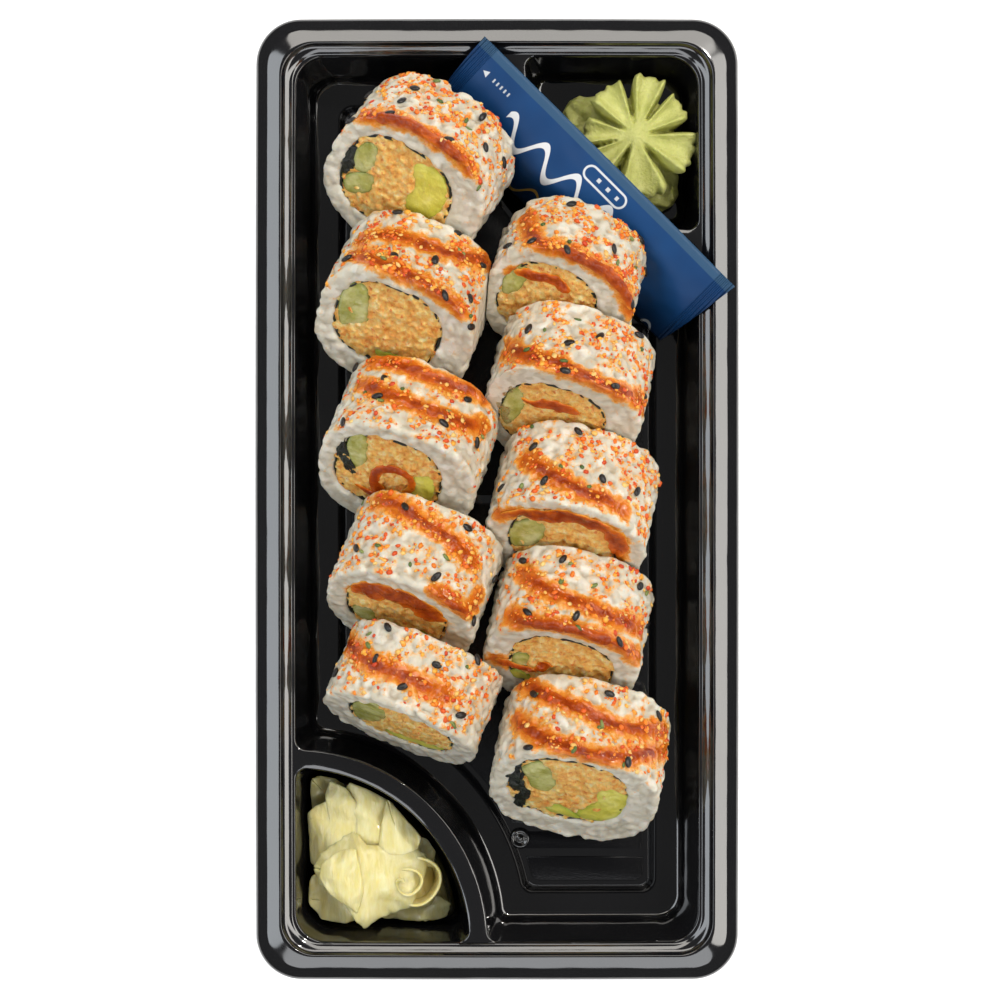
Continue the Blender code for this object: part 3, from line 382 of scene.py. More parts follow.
def lean_planes(frames):
    """Find the plane between each pair of rolls that press on each other, and each roll's side of it."""
    fan = []
    for turn in range(0, 360, 5):
        for rise in range(-85, 90, 5):
            level = math.cos(math.radians(rise))
            fan.append((level * math.cos(math.radians(turn)), level * math.sin(math.radians(turn)),
                        math.sin(math.radians(rise))))
    fan = np.array(fan)
    reach = {}
    for name, matrix in frames.items():
        half = ROLLS[name][7] / 2 * MM
        shape = []
        for height, inset in ((-half, 1.2 * MM), (1.2 * MM - half, 0), (half - 1.2 * MM, 0), (half, 1.2 * MM)):
            for i in range(48):
                x, y = round_square(name, -2 * math.pi * i / 48, inset)
                shape.append(matrix @ Vector((x, y, height)))
        reach[name] = np.array(shape) @ fan.T
    planes = {name: [] for name in frames}
    names = list(frames)
    for i, first in enumerate(names):
        for second in names[i + 1:]:
            room_left = reach[second].min(axis=0) - reach[first].max(axis=0)
            best = int(np.argmax(room_left))
            if room_left[best] > GAP:
                continue
            middle = (reach[second].min(axis=0)[best] + reach[first].max(axis=0)[best]) / 2
            planes[first].append((fan[best], middle - GAP / 2))
            planes[second].append((-fan[best], -middle - GAP / 2))
    return planes


def press(mesh, planes):
    """Flatten what reaches past the planes against them."""
    points = np.zeros(len(mesh.vertices) * 3, np.float32)
    mesh.vertices.foreach_get("co", points)
    points = points.reshape(-1, 3).astype(float)
    for normal, offset in planes:
        past = np.maximum(points @ normal - offset, 0)
        points -= past[:, None] * normal
    mesh.vertices.foreach_set("co", points.astype(np.float32).ravel())
    return points


def ball(subdivisions):
    """Make a ball one metre across, to lay copies of."""
    bm = bmesh.new()
    bmesh.ops.create_icosphere(bm, subdivisions=subdivisions, radius=0.5)
    made = bpy.data.meshes.new("ball_%d" % subdivisions)
    bm.to_mesh(made)
    bm.free()
    return made


def lay_copies(bm, shape, matrices):
    """Lay copies of a mesh where the matrices say."""
    copies = bmesh.new()
    for matrix in matrices:
        before = len(copies.verts)
        copies.from_mesh(shape)
        copies.verts.ensure_lookup_table()
        for vert in copies.verts[before:]:
            vert.co = matrix @ vert.co
    made = bpy.data.meshes.new("copies")
    copies.to_mesh(made)
    copies.free()
    bm.from_mesh(made)
    bpy.data.meshes.remove(made)


BALLS = {subdivisions: ball(subdivisions) for subdivisions in (1, 2)}


def melted(bm, name, voxel, rounds=1):
    """Melt overlapping closed shapes into one skin of even quads, and smooth it a little."""
    mesh = bpy.data.meshes.new(name)
    bm.to_mesh(mesh)
    bm.free()
    shape = bpy.data.objects.new(name, mesh)
    bpy.context.scene.collection.objects.link(shape)
    remesh = shape.modifiers.new("melt", 'REMESH')
    remesh.mode = 'VOXEL'
    remesh.voxel_size = voxel
    evaluated = shape.evaluated_get(bpy.context.evaluated_depsgraph_get())
    skin = bmesh.new()
    skin.from_mesh(bpy.data.meshes.new_from_object(evaluated))
    bpy.data.objects.remove(shape)
    for _ in range(rounds):
        bmesh.ops.smooth_vert(skin, verts=skin.verts, factor=0.5, use_axis_x=True, use_axis_y=True, use_axis_z=True)
    return skin


def store(mesh, name, values):
    """Keep one number for each vertex under a name that the finishes read."""
    layer = mesh.attributes.new(name, 'FLOAT', 'POINT')
    layer.data.foreach_set("value", np.asarray(values, np.float32))


def rice_ring(name, draw):
    """Return the roll's rice in its own frame, and the middles of its grains."""
    half = ROLLS[name][7] / 2 * MM
    sunk = 1.3 * MM
    profile = [(sunk + 0.8 * MM, 0.7 * MM - half), (sunk, 1.5 * MM - half), (sunk, half - 1.5 * MM),
               (sunk + 0.8 * MM, half - 0.7 * MM), (RICE_RING - 0.6 * MM, half - 0.7 * MM), (RICE_RING, half - 1.1 * MM),
               (RICE_RING, 1.1 * MM - half), (RICE_RING - 0.6 * MM, 0.7 * MM - half)]
    bm = bmesh.new()

    def core(i, j):
        inset, height = profile[j % len(profile)]
        x, y = (core_point if inset > 4 * MM else round_square)(name, -2 * math.pi * i / 48, inset)
        return Vector((x, y, height))

    sheet_of_quads(bm, 48, len(profile), core)
    bmesh.ops.remove_doubles(bm, verts=bm.verts, dist=0.00001)
    bmesh.ops.recalc_face_normals(bm, faces=bm.faces)
    grains = []

    def lay_grain(spot, outward, along, turn):
        side = outward.cross(along).normalized()
        lay = Matrix((side.cross(outward), side, outward)).transposed()
        lay = lay @ Matrix.Rotation(turn, 3, 'Z') @ Matrix.Rotation(draw.gauss(0, 0.12), 3, 'Y')
        size = [GRAIN[0] * draw.uniform(0.75, 1.05), GRAIN[1] * draw.uniform(0.85, 1.1), GRAIN[2]]
        grains.append(Matrix.Translation(spot) @ lay.to_4x4() @ Matrix.Diagonal((*size, 1)))

    rows = round((2 * half - 2.4 * MM) / (2.1 * MM))
    for row in range(rows + 1):
        columns = 42
        for column in range(columns):
            angle = 2 * math.pi * (column + draw.uniform(-0.45, 0.45) + 0.5 * (row % 2)) / columns
            height = -half + 1.3 * MM + (2 * half - 2.6 * MM) * row / rows + draw.uniform(-0.5, 0.5) * MM
            height = max(min(height, half - 1.3 * MM), 1.3 * MM - half)
            depth = 1.05 * MM + draw.uniform(0, 0.65) * MM
            turn = draw.uniform(0, math.pi)
            if half - abs(height) < 2.8 * MM:
                turn = math.pi / 2 + draw.gauss(0, 0.3)
            x, y = round_square(name, angle, depth)
            ahead = Vector(round_square(name, angle + 0.05, depth)) - Vector((x, y))
            lay_grain(Vector((x, y, height)), Vector((-ahead.y, ahead.x, 0)).normalized(), Vector((0, 0, 1)), turn)
    for end in (-1, 1):
        for ring in range(4):
            share = (0.0, 0.36, 0.7, 0.98)[ring]
            columns = (40, 35, 31, 29)[ring]
            for column in range(columns):
                angle = 2 * math.pi * (column + draw.uniform(-0.4, 0.4) + 0.5 * (ring % 2)) / columns
                outer = Vector(round_square(name, angle, 1.8 * MM))
                inner = Vector(core_point(name, angle, RICE_RING - 0.9 * MM))
                flat = outer.lerp(inner, share) * (1 + draw.uniform(-0.012, 0.012))
                height = end * (half - 1.0 * MM - draw.uniform(0, 0.6) * MM)
                outward = Vector((flat.x, flat.y, 0)).normalized()
                lay_grain(Vector((flat.x, flat.y, height)), Vector((0, 0, end)), outward,
                          math.pi / 2 + draw.gauss(0, 0.3 if ring in (0, 3) else 0.9))
    lay_copies(bm, BALLS[2], grains)
    skin = melted(bm, "rice", 0.46 * MM)
    for vert in skin.verts:
        vert.co.z = max(min(vert.co.z, half), -half)
    return skin, [grain.translation for grain in grains]


rice_white, nodes, links, shader, where = start_finish("rice_white", (0.80, 0.74, 0.60), 0.42)
grain_value = nodes.new("ShaderNodeAttribute")
grain_value.attribute_name = "grain"
hollow_value = nodes.new("ShaderNodeAttribute")
hollow_value.attribute_name = "hollow"
stain_value = nodes.new("ShaderNodeAttribute")
stain_value.attribute_name = "stain"
pale = ramp(nodes, links, grain_value.outputs["Fac"], (0.0, (0.58, 0.53, 0.42)), (0.5, (0.68, 0.63, 0.51)),
            (1.0, (0.77, 0.73, 0.63)))
# painted shade: the rice colour darkens to brown in the crevices between the grains, as far as the 'hollow' number says
deep = blend(nodes, links, hollow_value.outputs["Fac"], pale, (0.40, 0.31, 0.20))
patchy = nodes.new("ShaderNodeMath")
patchy.operation = 'MULTIPLY_ADD'
links.new(noise_field(nodes, links, where, 520, 5, 0.7), patchy.inputs[0])
patchy.inputs[1].default_value = 1.2
links.new(stain_value.outputs["Fac"], patchy.inputs[2])
soaked = nodes.new("ShaderNodeMath")
soaked.operation = 'SUBTRACT'
links.new(patchy.outputs[0], soaked.inputs[0])
soaked.inputs[1].default_value = 0.6
amber = ramp(nodes, links, soaked.outputs[0], (0.12, (0.80, 0.52, 0.22)), (0.35, (0.80, 0.34, 0.05)),
             (0.65, (0.68, 0.17, 0.010)), (1.0, (0.46, 0.08, 0.004)))
how_much = ramp(nodes, links, soaked.outputs[0], (0.10, (0, 0, 0)), (0.30, (1, 1, 1)))
links.new(blend(nodes, links, how_much, deep, amber), shader.inputs["Base Color"])
links.new(ramp(nodes, links, soaked.outputs[0], (0.1, (0.42,) * 3), (0.6, (0.16,) * 3)), shader.inputs["Roughness"])
shader.inputs["Subsurface Weight"].default_value = 0.45
shader.inputs["Subsurface Radius"].default_value = (1.0, 0.7, 0.45)
shader.inputs["Subsurface Scale"].default_value = 0.0012
fine = noise_field(nodes, links, where, 1400, 2)
links.new(relief(nodes, links, fine, 0.00012), shader.inputs["Normal"])

frames = {name: roll_frame(name) for name in ROLLS}
planes = lean_planes(frames)
rice_pieces = {}
rice_trees = {}
for number, name in enumerate(ROLLS):
    skin, spots = rice_ring(name, random.Random(300 + number))
    local = np.array([vert.co for vert in skin.verts])
    tree = KDTree(len(spots))
    for i, spot in enumerate(spots):
        tree.insert(spot, i)
    tree.balance()
    shade = np.random.default_rng(number).random(len(spots))
    grain = [shade[tree.find(vert.co)[1]] for vert in skin.verts]
    # how far each point lies sunk below a smoothed copy of the skin, kept as 'hollow' for the painted shade in the
    # crevices between grains
    even = skin.copy()
    for _ in range(6):
        bmesh.ops.smooth_vert(even, verts=even.verts, factor=0.6, use_axis_x=True, use_axis_y=True, use_axis_z=True)
    even.normal_update()
    sunk = np.array([(low.co - vert.co).dot(low.normal) for vert, low in zip(skin.verts, even.verts)])
    even.free()
    bmesh.ops.transform(skin, matrix=frames[name], verts=skin.verts)
    made = piece("rice_grains_" + name, skin, rice_white)
    press(made.data, planes[name])
    store(made.data, "grain", grain)
    store(made.data, "hollow", np.clip(sunk / (0.18 * MM), 0, 1) * 0.85)
    rice_pieces[name] = made
    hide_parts("rice_" + name)
    rice_trees[name] = BVHTree.FromPolygons([v.co for v in made.data.vertices],
                                            [tuple(p.vertices) for p in made.data.polygons])


# Nori: a thin sheet of dark seaweed between the rice and the fillings, ragged and wavy at both cuts. In
# three rolls it is folded into a dark crumple beside the cucumber.

NORI = 0.4 * MM
FOLDS = {
    "left_1": [(-16.1, -2.0), (-16.3, 1.2), (-14.8, 3.6), (-13.0, 1.0), (-12.9, -2.4), (-14.8, -5.9)],
    "left_3": [(-15.6, 4.3), (-14.8, 10.4), (-12.9, 5.0), (-10.7, 1.3), (-9.7, -3.8), (-13.4, -1.2)],
    "right_5": [(-18.0, 2.3), (-16.4, 3.4), (-14.9, 8.2), (-12.6, 3.6), (-11.6, -1.2), (-9.7, -1.9),
                (-10.1, -10.4), (-12.5, -9.3), (-14.5, -2.6)],
}


def smooth_loop(points, steps):
    """Return a smooth closed curve through a few points in millimetres."""
    points = [Vector(point) * MM for point in points]
    count = len(points)
    made = []
    for i in range(count):
        a, b, c, d = (points[(i + k) % count] for k in (-1, 0, 1, 2))
        for j in range(steps):
            t = j / steps
            made.append(0.5 * (2 * b + (c - a) * t + (2 * a - 5 * b + 4 * c - d) * t ** 2
                               + (3 * b - a - 3 * c + d) * t ** 3))
    return made


def stick(bm, loop, end, dome, seed):
    """Run a stick of food through a roll: an outline drawn from end to end, with soft uneven ends."""
    middle = sum(loop, Vector((0, 0))) / len(loop)
    rings = ((0.02, 1), (0.45, 1), (0.72, 0.95), (0.88, 0.75), (0.97, 0.35), (1, -0.3))
    rows = [(share, -end - dome * lift) for share, lift in rings] + [(1, 0.0)] + [
        (share, end + dome * lift) for share, lift in reversed(rings)]

    def point(i, j):
        share, height = rows[j]
        flat = middle.lerp(loop[i % len(loop)], share)
        lump = 0.45 * MM * noise.noise(Vector((flat.x / (3 * MM), flat.y / (3 * MM), seed + (j > 6) * 7)))
        return Vector((flat.x, flat.y, height + lump))

    sheet_of_quads(bm, len(loop), len(rows) - 1, point)
    bmesh.ops.remove_doubles(bm, verts=bm.verts, dist=0.00001)
    bmesh.ops.recalc_face_normals(bm, faces=bm.faces)


nori_dark, nodes, links, shader, where = start_finish("nori_dark", (0.012, 0.017, 0.010), 0.35)
links.new(ramp(nodes, links, noise_field(nodes, links, where, 500, 4), (0.4, (0.005, 0.007, 0.005)),
               (0.7, (0.022, 0.030, 0.016))), shader.inputs["Base Color"])
links.new(relief(nodes, links, noise_field(nodes, links, where, 600, 4), 0.0009), shader.inputs["Normal"])
for number, name in enumerate(ROLLS):
    half = ROLLS[name][7] / 2 * MM
    nori_bm = bmesh.new()

    def sheet_point(i, j):
        """Walk the tube's wall: down its outer side and up its inner side."""
        angle = -2 * math.pi * i / 96
        inset, share = ((0, -1), (0, -0.5), (0, 0.5), (0, 1), (1, 1), (1, 0.5), (1, -0.5), (1, -1))[j % 8]
        ragged = 0.9 * MM * abs(noise.noise(Vector((math.cos(angle) * 4, math.sin(angle) * 4, number * 2.3 + share))))
        wave = 0.3 * MM * noise.noise(Vector((math.cos(angle) * 3, math.sin(angle) * 3, number * 5.1 + 40)))
        x, y = core_point(name, angle, RICE_RING + 0.15 * MM + NORI * inset + wave)
        return Vector((x, y, share * (half - 0.75 * MM - 1.2 * ragged)))

    sheet_of_quads(nori_bm, 96, 8, sheet_point)
    bmesh.ops.remove_doubles(nori_bm, verts=nori_bm.verts, dist=0.00001)
    bmesh.ops.recalc_face_normals(nori_bm, faces=nori_bm.faces)
    if name in FOLDS:
        fold_bm = bmesh.new()
        stick(fold_bm, smooth_loop(FOLDS[name], 6), half - 0.9 * MM, 0.1 * MM, 3.3)
        # noise_vector starts from the clock where it has no seed
        noise.seed_set(5)
        for vert in fold_bm.verts:
            if abs(vert.co.z) > half - 2.5 * MM:
                vert.co += 0.9 * MM * noise.noise_vector(vert.co / (1.5 * MM))
        fold_mesh = bpy.data.meshes.new("fold")
        fold_bm.to_mesh(fold_mesh)
        fold_bm.free()
        nori_bm.from_mesh(fold_mesh)
        bpy.data.meshes.remove(fold_mesh)
    bmesh.ops.transform(nori_bm, matrix=frames[name], verts=nori_bm.verts)
    made = piece("nori_wrap_" + name, nori_bm, nori_dark)
    press(made.data, planes[name])
    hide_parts("nori_" + name)


# Fillings: shredded seafood salad fills each roll's core, round sticks of cucumber and slices of avocado
# that run through it. The salad is a soft core with single shreds heaped on both of its ends.

# outlines in millimetres, across and up from the roll's middle
CUCUMBERS = {
    "left_1": [[(-14.4, 3.4), (-12.4, 6.9), (-9.8, 6.6), (-8.2, 1.6), (-9.2, -0.6), (-10.8, -2.0), (-13.1, -1.7)],
               [(-14.0, -6.6), (-12.4, -3.4), (-8.3, -0.6), (-6.6, -1.8), (-6.7, -5.3), (-9.4, -8.5), (-12.2, -9.2)]],
    "left_2": [[(-14.6, 3.5), (-13.8, 8.6), (-11.2, 11.0), (-8.6, 9.4), (-7.2, 4.5), (-6.8, -0.4), (-10.8, -3.3),
                (-13.0, -3.6)]],
    "left_3": [[(-13.5, 5.2), (-12.7, 11.4), (-10.1, 12.0), (-8.2, 7.3), (-7.9, 1.9), (-9.6, -0.9), (-12.3, 2.6)]],
    "left_4": [[(-11.0, -4.0), (-8.5, -2.5), (-5.5, -3.5), (-5.0, -8.5), (-8.0, -9.5), (-10.6, -7.5)]],
    "left_5": [[(-12.2, 2.7), (-10.7, 9.5), (-7.1, 12.6), (-3.6, 7.2), (-5.0, -2.5), (-9.9, -7.0)]],
    "right_1": [[(-14.0, 2.5), (-12.4, 6.4), (-9.6, 5.0), (-9.5, -2.0), (-12.0, -4.5), (-13.8, -1.0)]],
    "right_2": [[(-14.3, 3.0), (-12.6, 6.8), (-9.8, 3.4), (-9.6, -3.3), (-11.4, -8.0), (-13.9, -4.6)]],
    "right_3": [[(-13.5, 0.6), (-12.2, 4.9), (-7.2, 8.6), (-5.4, 4.2), (-6.0, -2.0), (-11.3, -5.4)]],
    "right_4": [[(-11.4, 0.0), (-9.0, 2.0), (-7.0, -1.0), (-7.6, -5.6), (-10.4, -5.6)]],
    "right_5": [[(-14.1, 6.2), (-11.0, 11.1), (-8.1, 9.9), (-5.0, 3.8), (-5.0, -0.4), (-9.5, -1.0), (-11.8, 2.4)]],
}
AVOCADOS = {
    "left_1": [[(-0.3, 8.7), (3.1, 10.4), (7.2, 9.4), (9.6, 5.7), (10.2, 1.4), (8.5, -4.0), (4.0, -5.5), (1.0, -2.1),
                (2.0, 2.6), (0.2, 5.2)]],
    "left_2": [[(-3.0, -8.0), (2.0, -6.5), (7.5, -6.0), (6.0, -9.6), (0.0, -10.3)]],
    "left_3": [[(3.6, 2.6), (7.6, 5.2), (9.4, 1.0), (8.6, -4.6), (3.7, -5.2)]],
    "left_4": [[(-1.0, -5.5), (4.0, -4.5), (8.0, -4.0), (7.5, -8.5), (1.0, -10.0)]],
    "left_5": [[(-3.0, -6.6), (4.5, -4.0), (11.0, -3.4), (11.6, -6.6), (6.1, -9.4), (0.1, -9.9)]],
    "right_1": [[(-5.0, -7.0), (0.0, -5.5), (6.0, -5.0), (5.0, -8.8), (-2.0, -10.2)]],
    "right_2": [[(-5.0, -7.5), (0.0, -6.0), (6.0, -5.5), (5.0, -9.5), (-2.0, -10.6)]],
    "right_3": [[(-3.0, -6.5), (3.0, -5.0), (9.0, -4.5), (8.0, -8.5), (0.0, -9.6)]],
    "right_4": [[(-11.0, -7.8), (-7.2, -6.6), (-5.0, -9.0), (-8.2, -10.4)]],
    "right_5": [[(5.3, 5.5), (8.2, 6.2), (12.0, 4.6), (12.6, -2.4), (10.6, -7.6), (5.8, -9.6), (2.2, -8.1), (2.9, -4.4),
                 (5.3, -1.4), (5.0, 3.0)], [(-5.6, -7.6), (-2.3, -5.7), (2.4, -8.3), (3.4, -9.8), (0.4, -10.2), (-4.0, -9.6)]],
}
SHREDS_PER_END = 560


def outside_loops(flat, loops):
    """Tell whether a point of the section is clear of the cucumber and avocado there."""
    for loop in loops:
        inside = False
        for a, b in zip(loop, loop[1:] + loop[:1]):
            if (a.y > flat.y) != (b.y > flat.y) and flat.x < (b.x - a.x) * (flat.y - a.y) / (b.y - a.y) + a.x:
                inside = not inside
        if inside:
            return False
    return True


seafood_salad, nodes, links, shader, where = start_finish("seafood_salad", (0.8, 0.45, 0.12), 0.38)
shreds_tone = noise_field(nodes, links, where, 520, 5, 0.65)
tan = ramp(nodes, links, shreds_tone, (0.32, (0.72, 0.25, 0.035)), (0.44, (0.90, 0.45, 0.09)),
           (0.56, (0.96, 0.62, 0.19)), (0.68, (0.98, 0.80, 0.42)))
speck = ramp(nodes, links, noise_field(nodes, links, where, 700, 3), (0.60, (0, 0, 0)), (0.67, (0.8, 0.8, 0.8)))
links.new(blend(nodes, links, speck, tan, (0.72, 0.16, 0.02)), shader.inputs["Base Color"])
shader.inputs["Subsurface Weight"].default_value = 0.45
shader.inputs["Subsurface Radius"].default_value = (1.0, 0.5, 0.2)
shader.inputs["Subsurface Scale"].default_value = 0.0008
links.new(relief(nodes, links, noise_field(nodes, links, where, 900, 5, 0.65), 0.0009), shader.inputs["Normal"])

cucumber_flesh, nodes, links, shader, where = start_finish("cucumber_flesh", (0.52, 0.60, 0.24), 0.22)
rind_value = nodes.new("ShaderNodeAttribute")
rind_value.attribute_name = "rind"
flesh = ramp(nodes, links, noise_field(nodes, links, where, 260, 4), (0.35, (0.33, 0.32, 0.055)),
             (0.5, (0.47, 0.45, 0.13)), (0.66, (0.62, 0.60, 0.27)))
links.new(blend(nodes, links, rind_value.outputs["Fac"], flesh, (0.19, 0.24, 0.04)), shader.inputs["Base Color"])
shader.inputs["Subsurface Weight"].default_value = 0.5
shader.inputs["Subsurface Radius"].default_value = (0.8, 1.0, 0.4)
shader.inputs["Subsurface Scale"].default_value = 0.002
links.new(relief(nodes, links, noise_field(nodes, links, where, 420, 3), 0.0006), shader.inputs["Normal"])

avocado_flesh, nodes, links, shader, where = start_finish("avocado_flesh", (0.58, 0.62, 0.16), 0.35)
rind_value = nodes.new("ShaderNodeAttribute")
rind_value.attribute_name = "rind"
flesh = ramp(nodes, links, noise_field(nodes, links, where, 200, 4), (0.35, (0.60, 0.54, 0.06)),
             (0.55, (0.72, 0.65, 0.11)), (0.72, (0.82, 0.76, 0.24)))
links.new(blend(nodes, links, rind_value.outputs["Fac"], flesh, (0.26, 0.38, 0.02)), shader.inputs["Base Color"])
shader.inputs["Subsurface Weight"].default_value = 0.35
shader.inputs["Subsurface Radius"].default_value = (0.9, 1.0, 0.3)
shader.inputs["Subsurface Scale"].default_value = 0.0012
links.new(relief(nodes, links, noise_field(nodes, links, where, 500, 3), 0.0006), shader.inputs["Normal"])

filling_trees = {}
for number, name in enumerate(ROLLS):
    draw = random.Random(700 + number)
    half = ROLLS[name][7] / 2 * MM
    end = half - 0.9 * MM
    loops = {kind: [smooth_loop(outline, 7) for outline in outlines[name]]
             for kind, outlines in (("cucumber", CUCUMBERS), ("avocado", AVOCADOS))}
    skins = {}
    for kind in loops:
        bm = bmesh.new()
        for loop in loops[kind]:
            one = bmesh.new()
            stick(one, loop, end - 0.1 * MM, 0.35 * MM, number * 1.7)
            one_mesh = bpy.data.meshes.new("stick")
            one.to_mesh(one_mesh)
            one.free()
            bm.from_mesh(one_mesh)
            bpy.data.meshes.remove(one_mesh)
        skins[kind] = bm
    rinds = {}
    for kind, depth in (("cucumber", 0.7 * MM), ("avocado", 1.4 * MM)):
        rinds[kind] = []
        for vert in skins[kind].verts:
            near = min((Vector(vert.co.xy) - spot).length for loop in loops[kind] for spot in loop)
            low = 1 if kind == "cucumber" else (0.25 + 0.75 * (vert.co.y < CORES[name][1] * MM - 4 * MM))
            rinds[kind].append(max(0, 1 - near / depth) * low * 0.8)
    core = bmesh.new()
    outline = [Vector(core_point(name, -2 * math.pi * i / 60, RICE_RING + 0.9 * MM)) for i in range(60)]
    stick(core, outline, end - 0.45 * MM, 0.25 * MM, number * 2.9)
    shreds = []
    blocked = loops["cucumber"] + loops["avocado"]
    if name in FOLDS:
        blocked = blocked + [smooth_loop(FOLDS[name], 4)]
    while len(shreds) < 2 * SHREDS_PER_END:
        angle = draw.uniform(0, 2 * math.pi)
        rim = Vector(core_point(name, angle, RICE_RING - 0.25 * MM))
        middle = Vector(CORES[name]) * MM
        flat = middle.lerp(rim, math.sqrt(draw.random()))
        if not outside_loops(flat, blocked) and draw.random() > 0.02:
            continue
        heap = 0.7 * MM * (1 - ((flat - middle).length / (rim - middle).length) ** 4)
        height = end - 0.6 * MM + heap + draw.uniform(-0.5, 0.5) * MM
        size = (draw.uniform(1.4, 2.8) * MM, draw.uniform(0.8, 1.25) * MM, draw.uniform(0.7, 1.0) * MM, 1)
        lay = Matrix.Rotation(draw.uniform(0, math.pi), 4, 'Z') @ Matrix.Rotation(draw.gauss(0, 0.22), 4, 'Y')
        spot = Vector((flat.x, flat.y, height * (1 if len(shreds) % 2 else -1)))
        shreds.append(Matrix.Translation(spot) @ lay @ Matrix.Diagonal(size))
    salad_mesh = bpy.data.meshes.new("core")
    core.to_mesh(salad_mesh)
    core.free()
    salad = bmesh.new()
    salad.from_mesh(salad_mesh)
    bpy.data.meshes.remove(salad_mesh)
    lay_copies(salad, BALLS[1], shreds)
    skins["crab"] = melted(salad, "salad", 0.40 * MM, 0)
    filling_trees[name] = []
    for kind, finish, label, values in (("cucumber", cucumber_flesh, "rind", rinds["cucumber"]),
                                        ("crab", seafood_salad, "", None),
                                        ("avocado", avocado_flesh, "rind", rinds["avocado"])):
        bmesh.ops.transform(skins[kind], matrix=frames[name], verts=skins[kind].verts)
        made = piece(kind + "_filling_" + name, skins[kind], finish)
        press(made.data, planes[name])
        if values:
            store(made.data, label, values)
        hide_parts(kind + "_" + name)
        filling_trees[name].append(BVHTree.FromPolygons([v.co for v in made.data.vertices],
                                                        [tuple(p.vertices) for p in made.data.polygons]))


# Sauce: bands of thick sweet soy and spicy mayonnaise, squeezed to and fro over the rolls. Each is a
# strip that follows the grains, thick in its middle and thin at its edges, and stains the rice.

# each band: (degrees from the top, place along the roll) points, then its width in millimetres. Past 0.5
# the band runs down the cut face.
SAUCE_BANDS = {
    "left_1": [([(-54, .40), (-39, .50), (-18, .50), (5, .50), (29, .50)], 4.4)],
    "left_2": [([(-47, -.04), (-30, -.07), (-8, -.08), (18, -.14), (53, -.46)], 4.4),
               ([(-51, .20), (-25, .34), (-1, .42), (20, .49), (39, .50)], 4.4)],
    "left_3": [([(-120, .90), (-150, 1.08), (175, 1.15)], 3.0), ([(-44, -.40), (-19, -.33), (7, -.30), (37, -.39)], 4.6),
               ([(-49, -.09), (-23, .06), (4, .10), (27, .06), (50, -.11)], 4.6)],
    "left_4": [([(-80, .80), (-42, .86), (-3, .88), (42, .92), (70, .90)], 7.0), ([(-48, -.35), (-26, -.31), (-4, -.21), (18, -.12), (33, -.05)], 4.2),
               ([(16, .50), (44, .47), (59, .17)], 3.6)],
    "left_5": [([(-84, -.24), (-60, -.10), (-36, .05), (-12, .08), (16, .12)], 4.4)],
    "right_1": [([(-80, .76), (-59, .93), (-20, 1.05), (5, 1.12)], 3.4), ([(-63, -.14), (-41, .38), (-16, .50), (23, .50), (59, .50)], 4.4)],
    "right_2": [([(-75, .84), (-66, 1.0), (-20, 1.08), (30, 1.08)], 3.4), ([(-73, .03), (-40, .30), (-13, .37), (15, .46), (66, .24)], 4.4)],
    "right_3": [([(-75, .60), (-31, .79), (-8, .75), (14, .73), (40, .73), (86, .80)], 4.6), ([(-47, -.03), (-22, .17), (1, .29), (26, .32)], 4.4)],
    "right_4": [([(-98, .66), (-112, .90), (-120, 1.08), (-60, 1.2)], 3.4), ([(-51, -.16), (-28, .04), (-5, .14), (19, .20), (53, .11)], 4.4),
                ([(-56, .32), (-31, .50), (-7, .50), (21, .50), (57, .39)], 4.0)],
    "right_5": [([(-61, -.47), (-36, -.23), (-10, -.09), (16, .01), (59, -.26)], 4.6),
                ([(-62, -.01), (-35, .28), (-9, .42), (16, .37), (68, -.09)], 4.4)],
}
SAUCE_DEPTH = 0.22 * MM


def wrap_point(name, around, along):
    """Return a point over the roll and the way out, from lengths round its side and along its axis.

    Past the front edge the length runs on down the cut face."""
    half = ROLLS[name][7] / 2 * MM
    angle = around / (19.2 * MM)
    over = max(along - half, 0)
    x, y = round_square(name, angle, over)
    outward = Vector((x, y, 0)).normalized()
    if over > 3 * MM:
        outward = Vector((0, 0, 1))
    elif along > half - 1.5 * MM:
        share = min((along - half + 1.5 * MM) / (3.0 * MM), 1)
        outward = outward.lerp(Vector((0, 0, 1)), share).normalized()
    return Vector((x, y, min(along, half))), outward


def curve_through(points, steps):
    """Return points of a smooth curve through a few points."""
    points = [Vector(point) for point in points]
    points = [points[0] * 2 - points[1]] + points + [points[-1] * 2 - points[-2]]
    made = []
    for a, b, c, d in zip(points, points[1:], points[2:], points[3:]):
        for i in range(steps):
            t = i / steps
            made.append(0.5 * ((2 * b) + (c - a) * t + (2 * a - 5 * b + 4 * c - d) * t ** 2
                               + (3 * b - a - 3 * c + d) * t ** 3))
    return made + [points[-2]]


def nearest_skin(name, spot, outward, reach):
    """Return where a ray comes down on the roll's rice or fillings."""
    world = frames[name] @ (spot + outward * reach)
    way = -(frames[name].to_3x3() @ outward)
    best = None
    for tree in [rice_trees[name]] + filling_trees[name]:
        place, _, _, distance = tree.ray_cast(world, way, reach + 5 * MM)
        if place is not None and (best is None or distance < best[1]):
            best = (place, distance)
    return (best[0] if best else frames[name] @ (spot - outward * 1.5 * MM)), -way


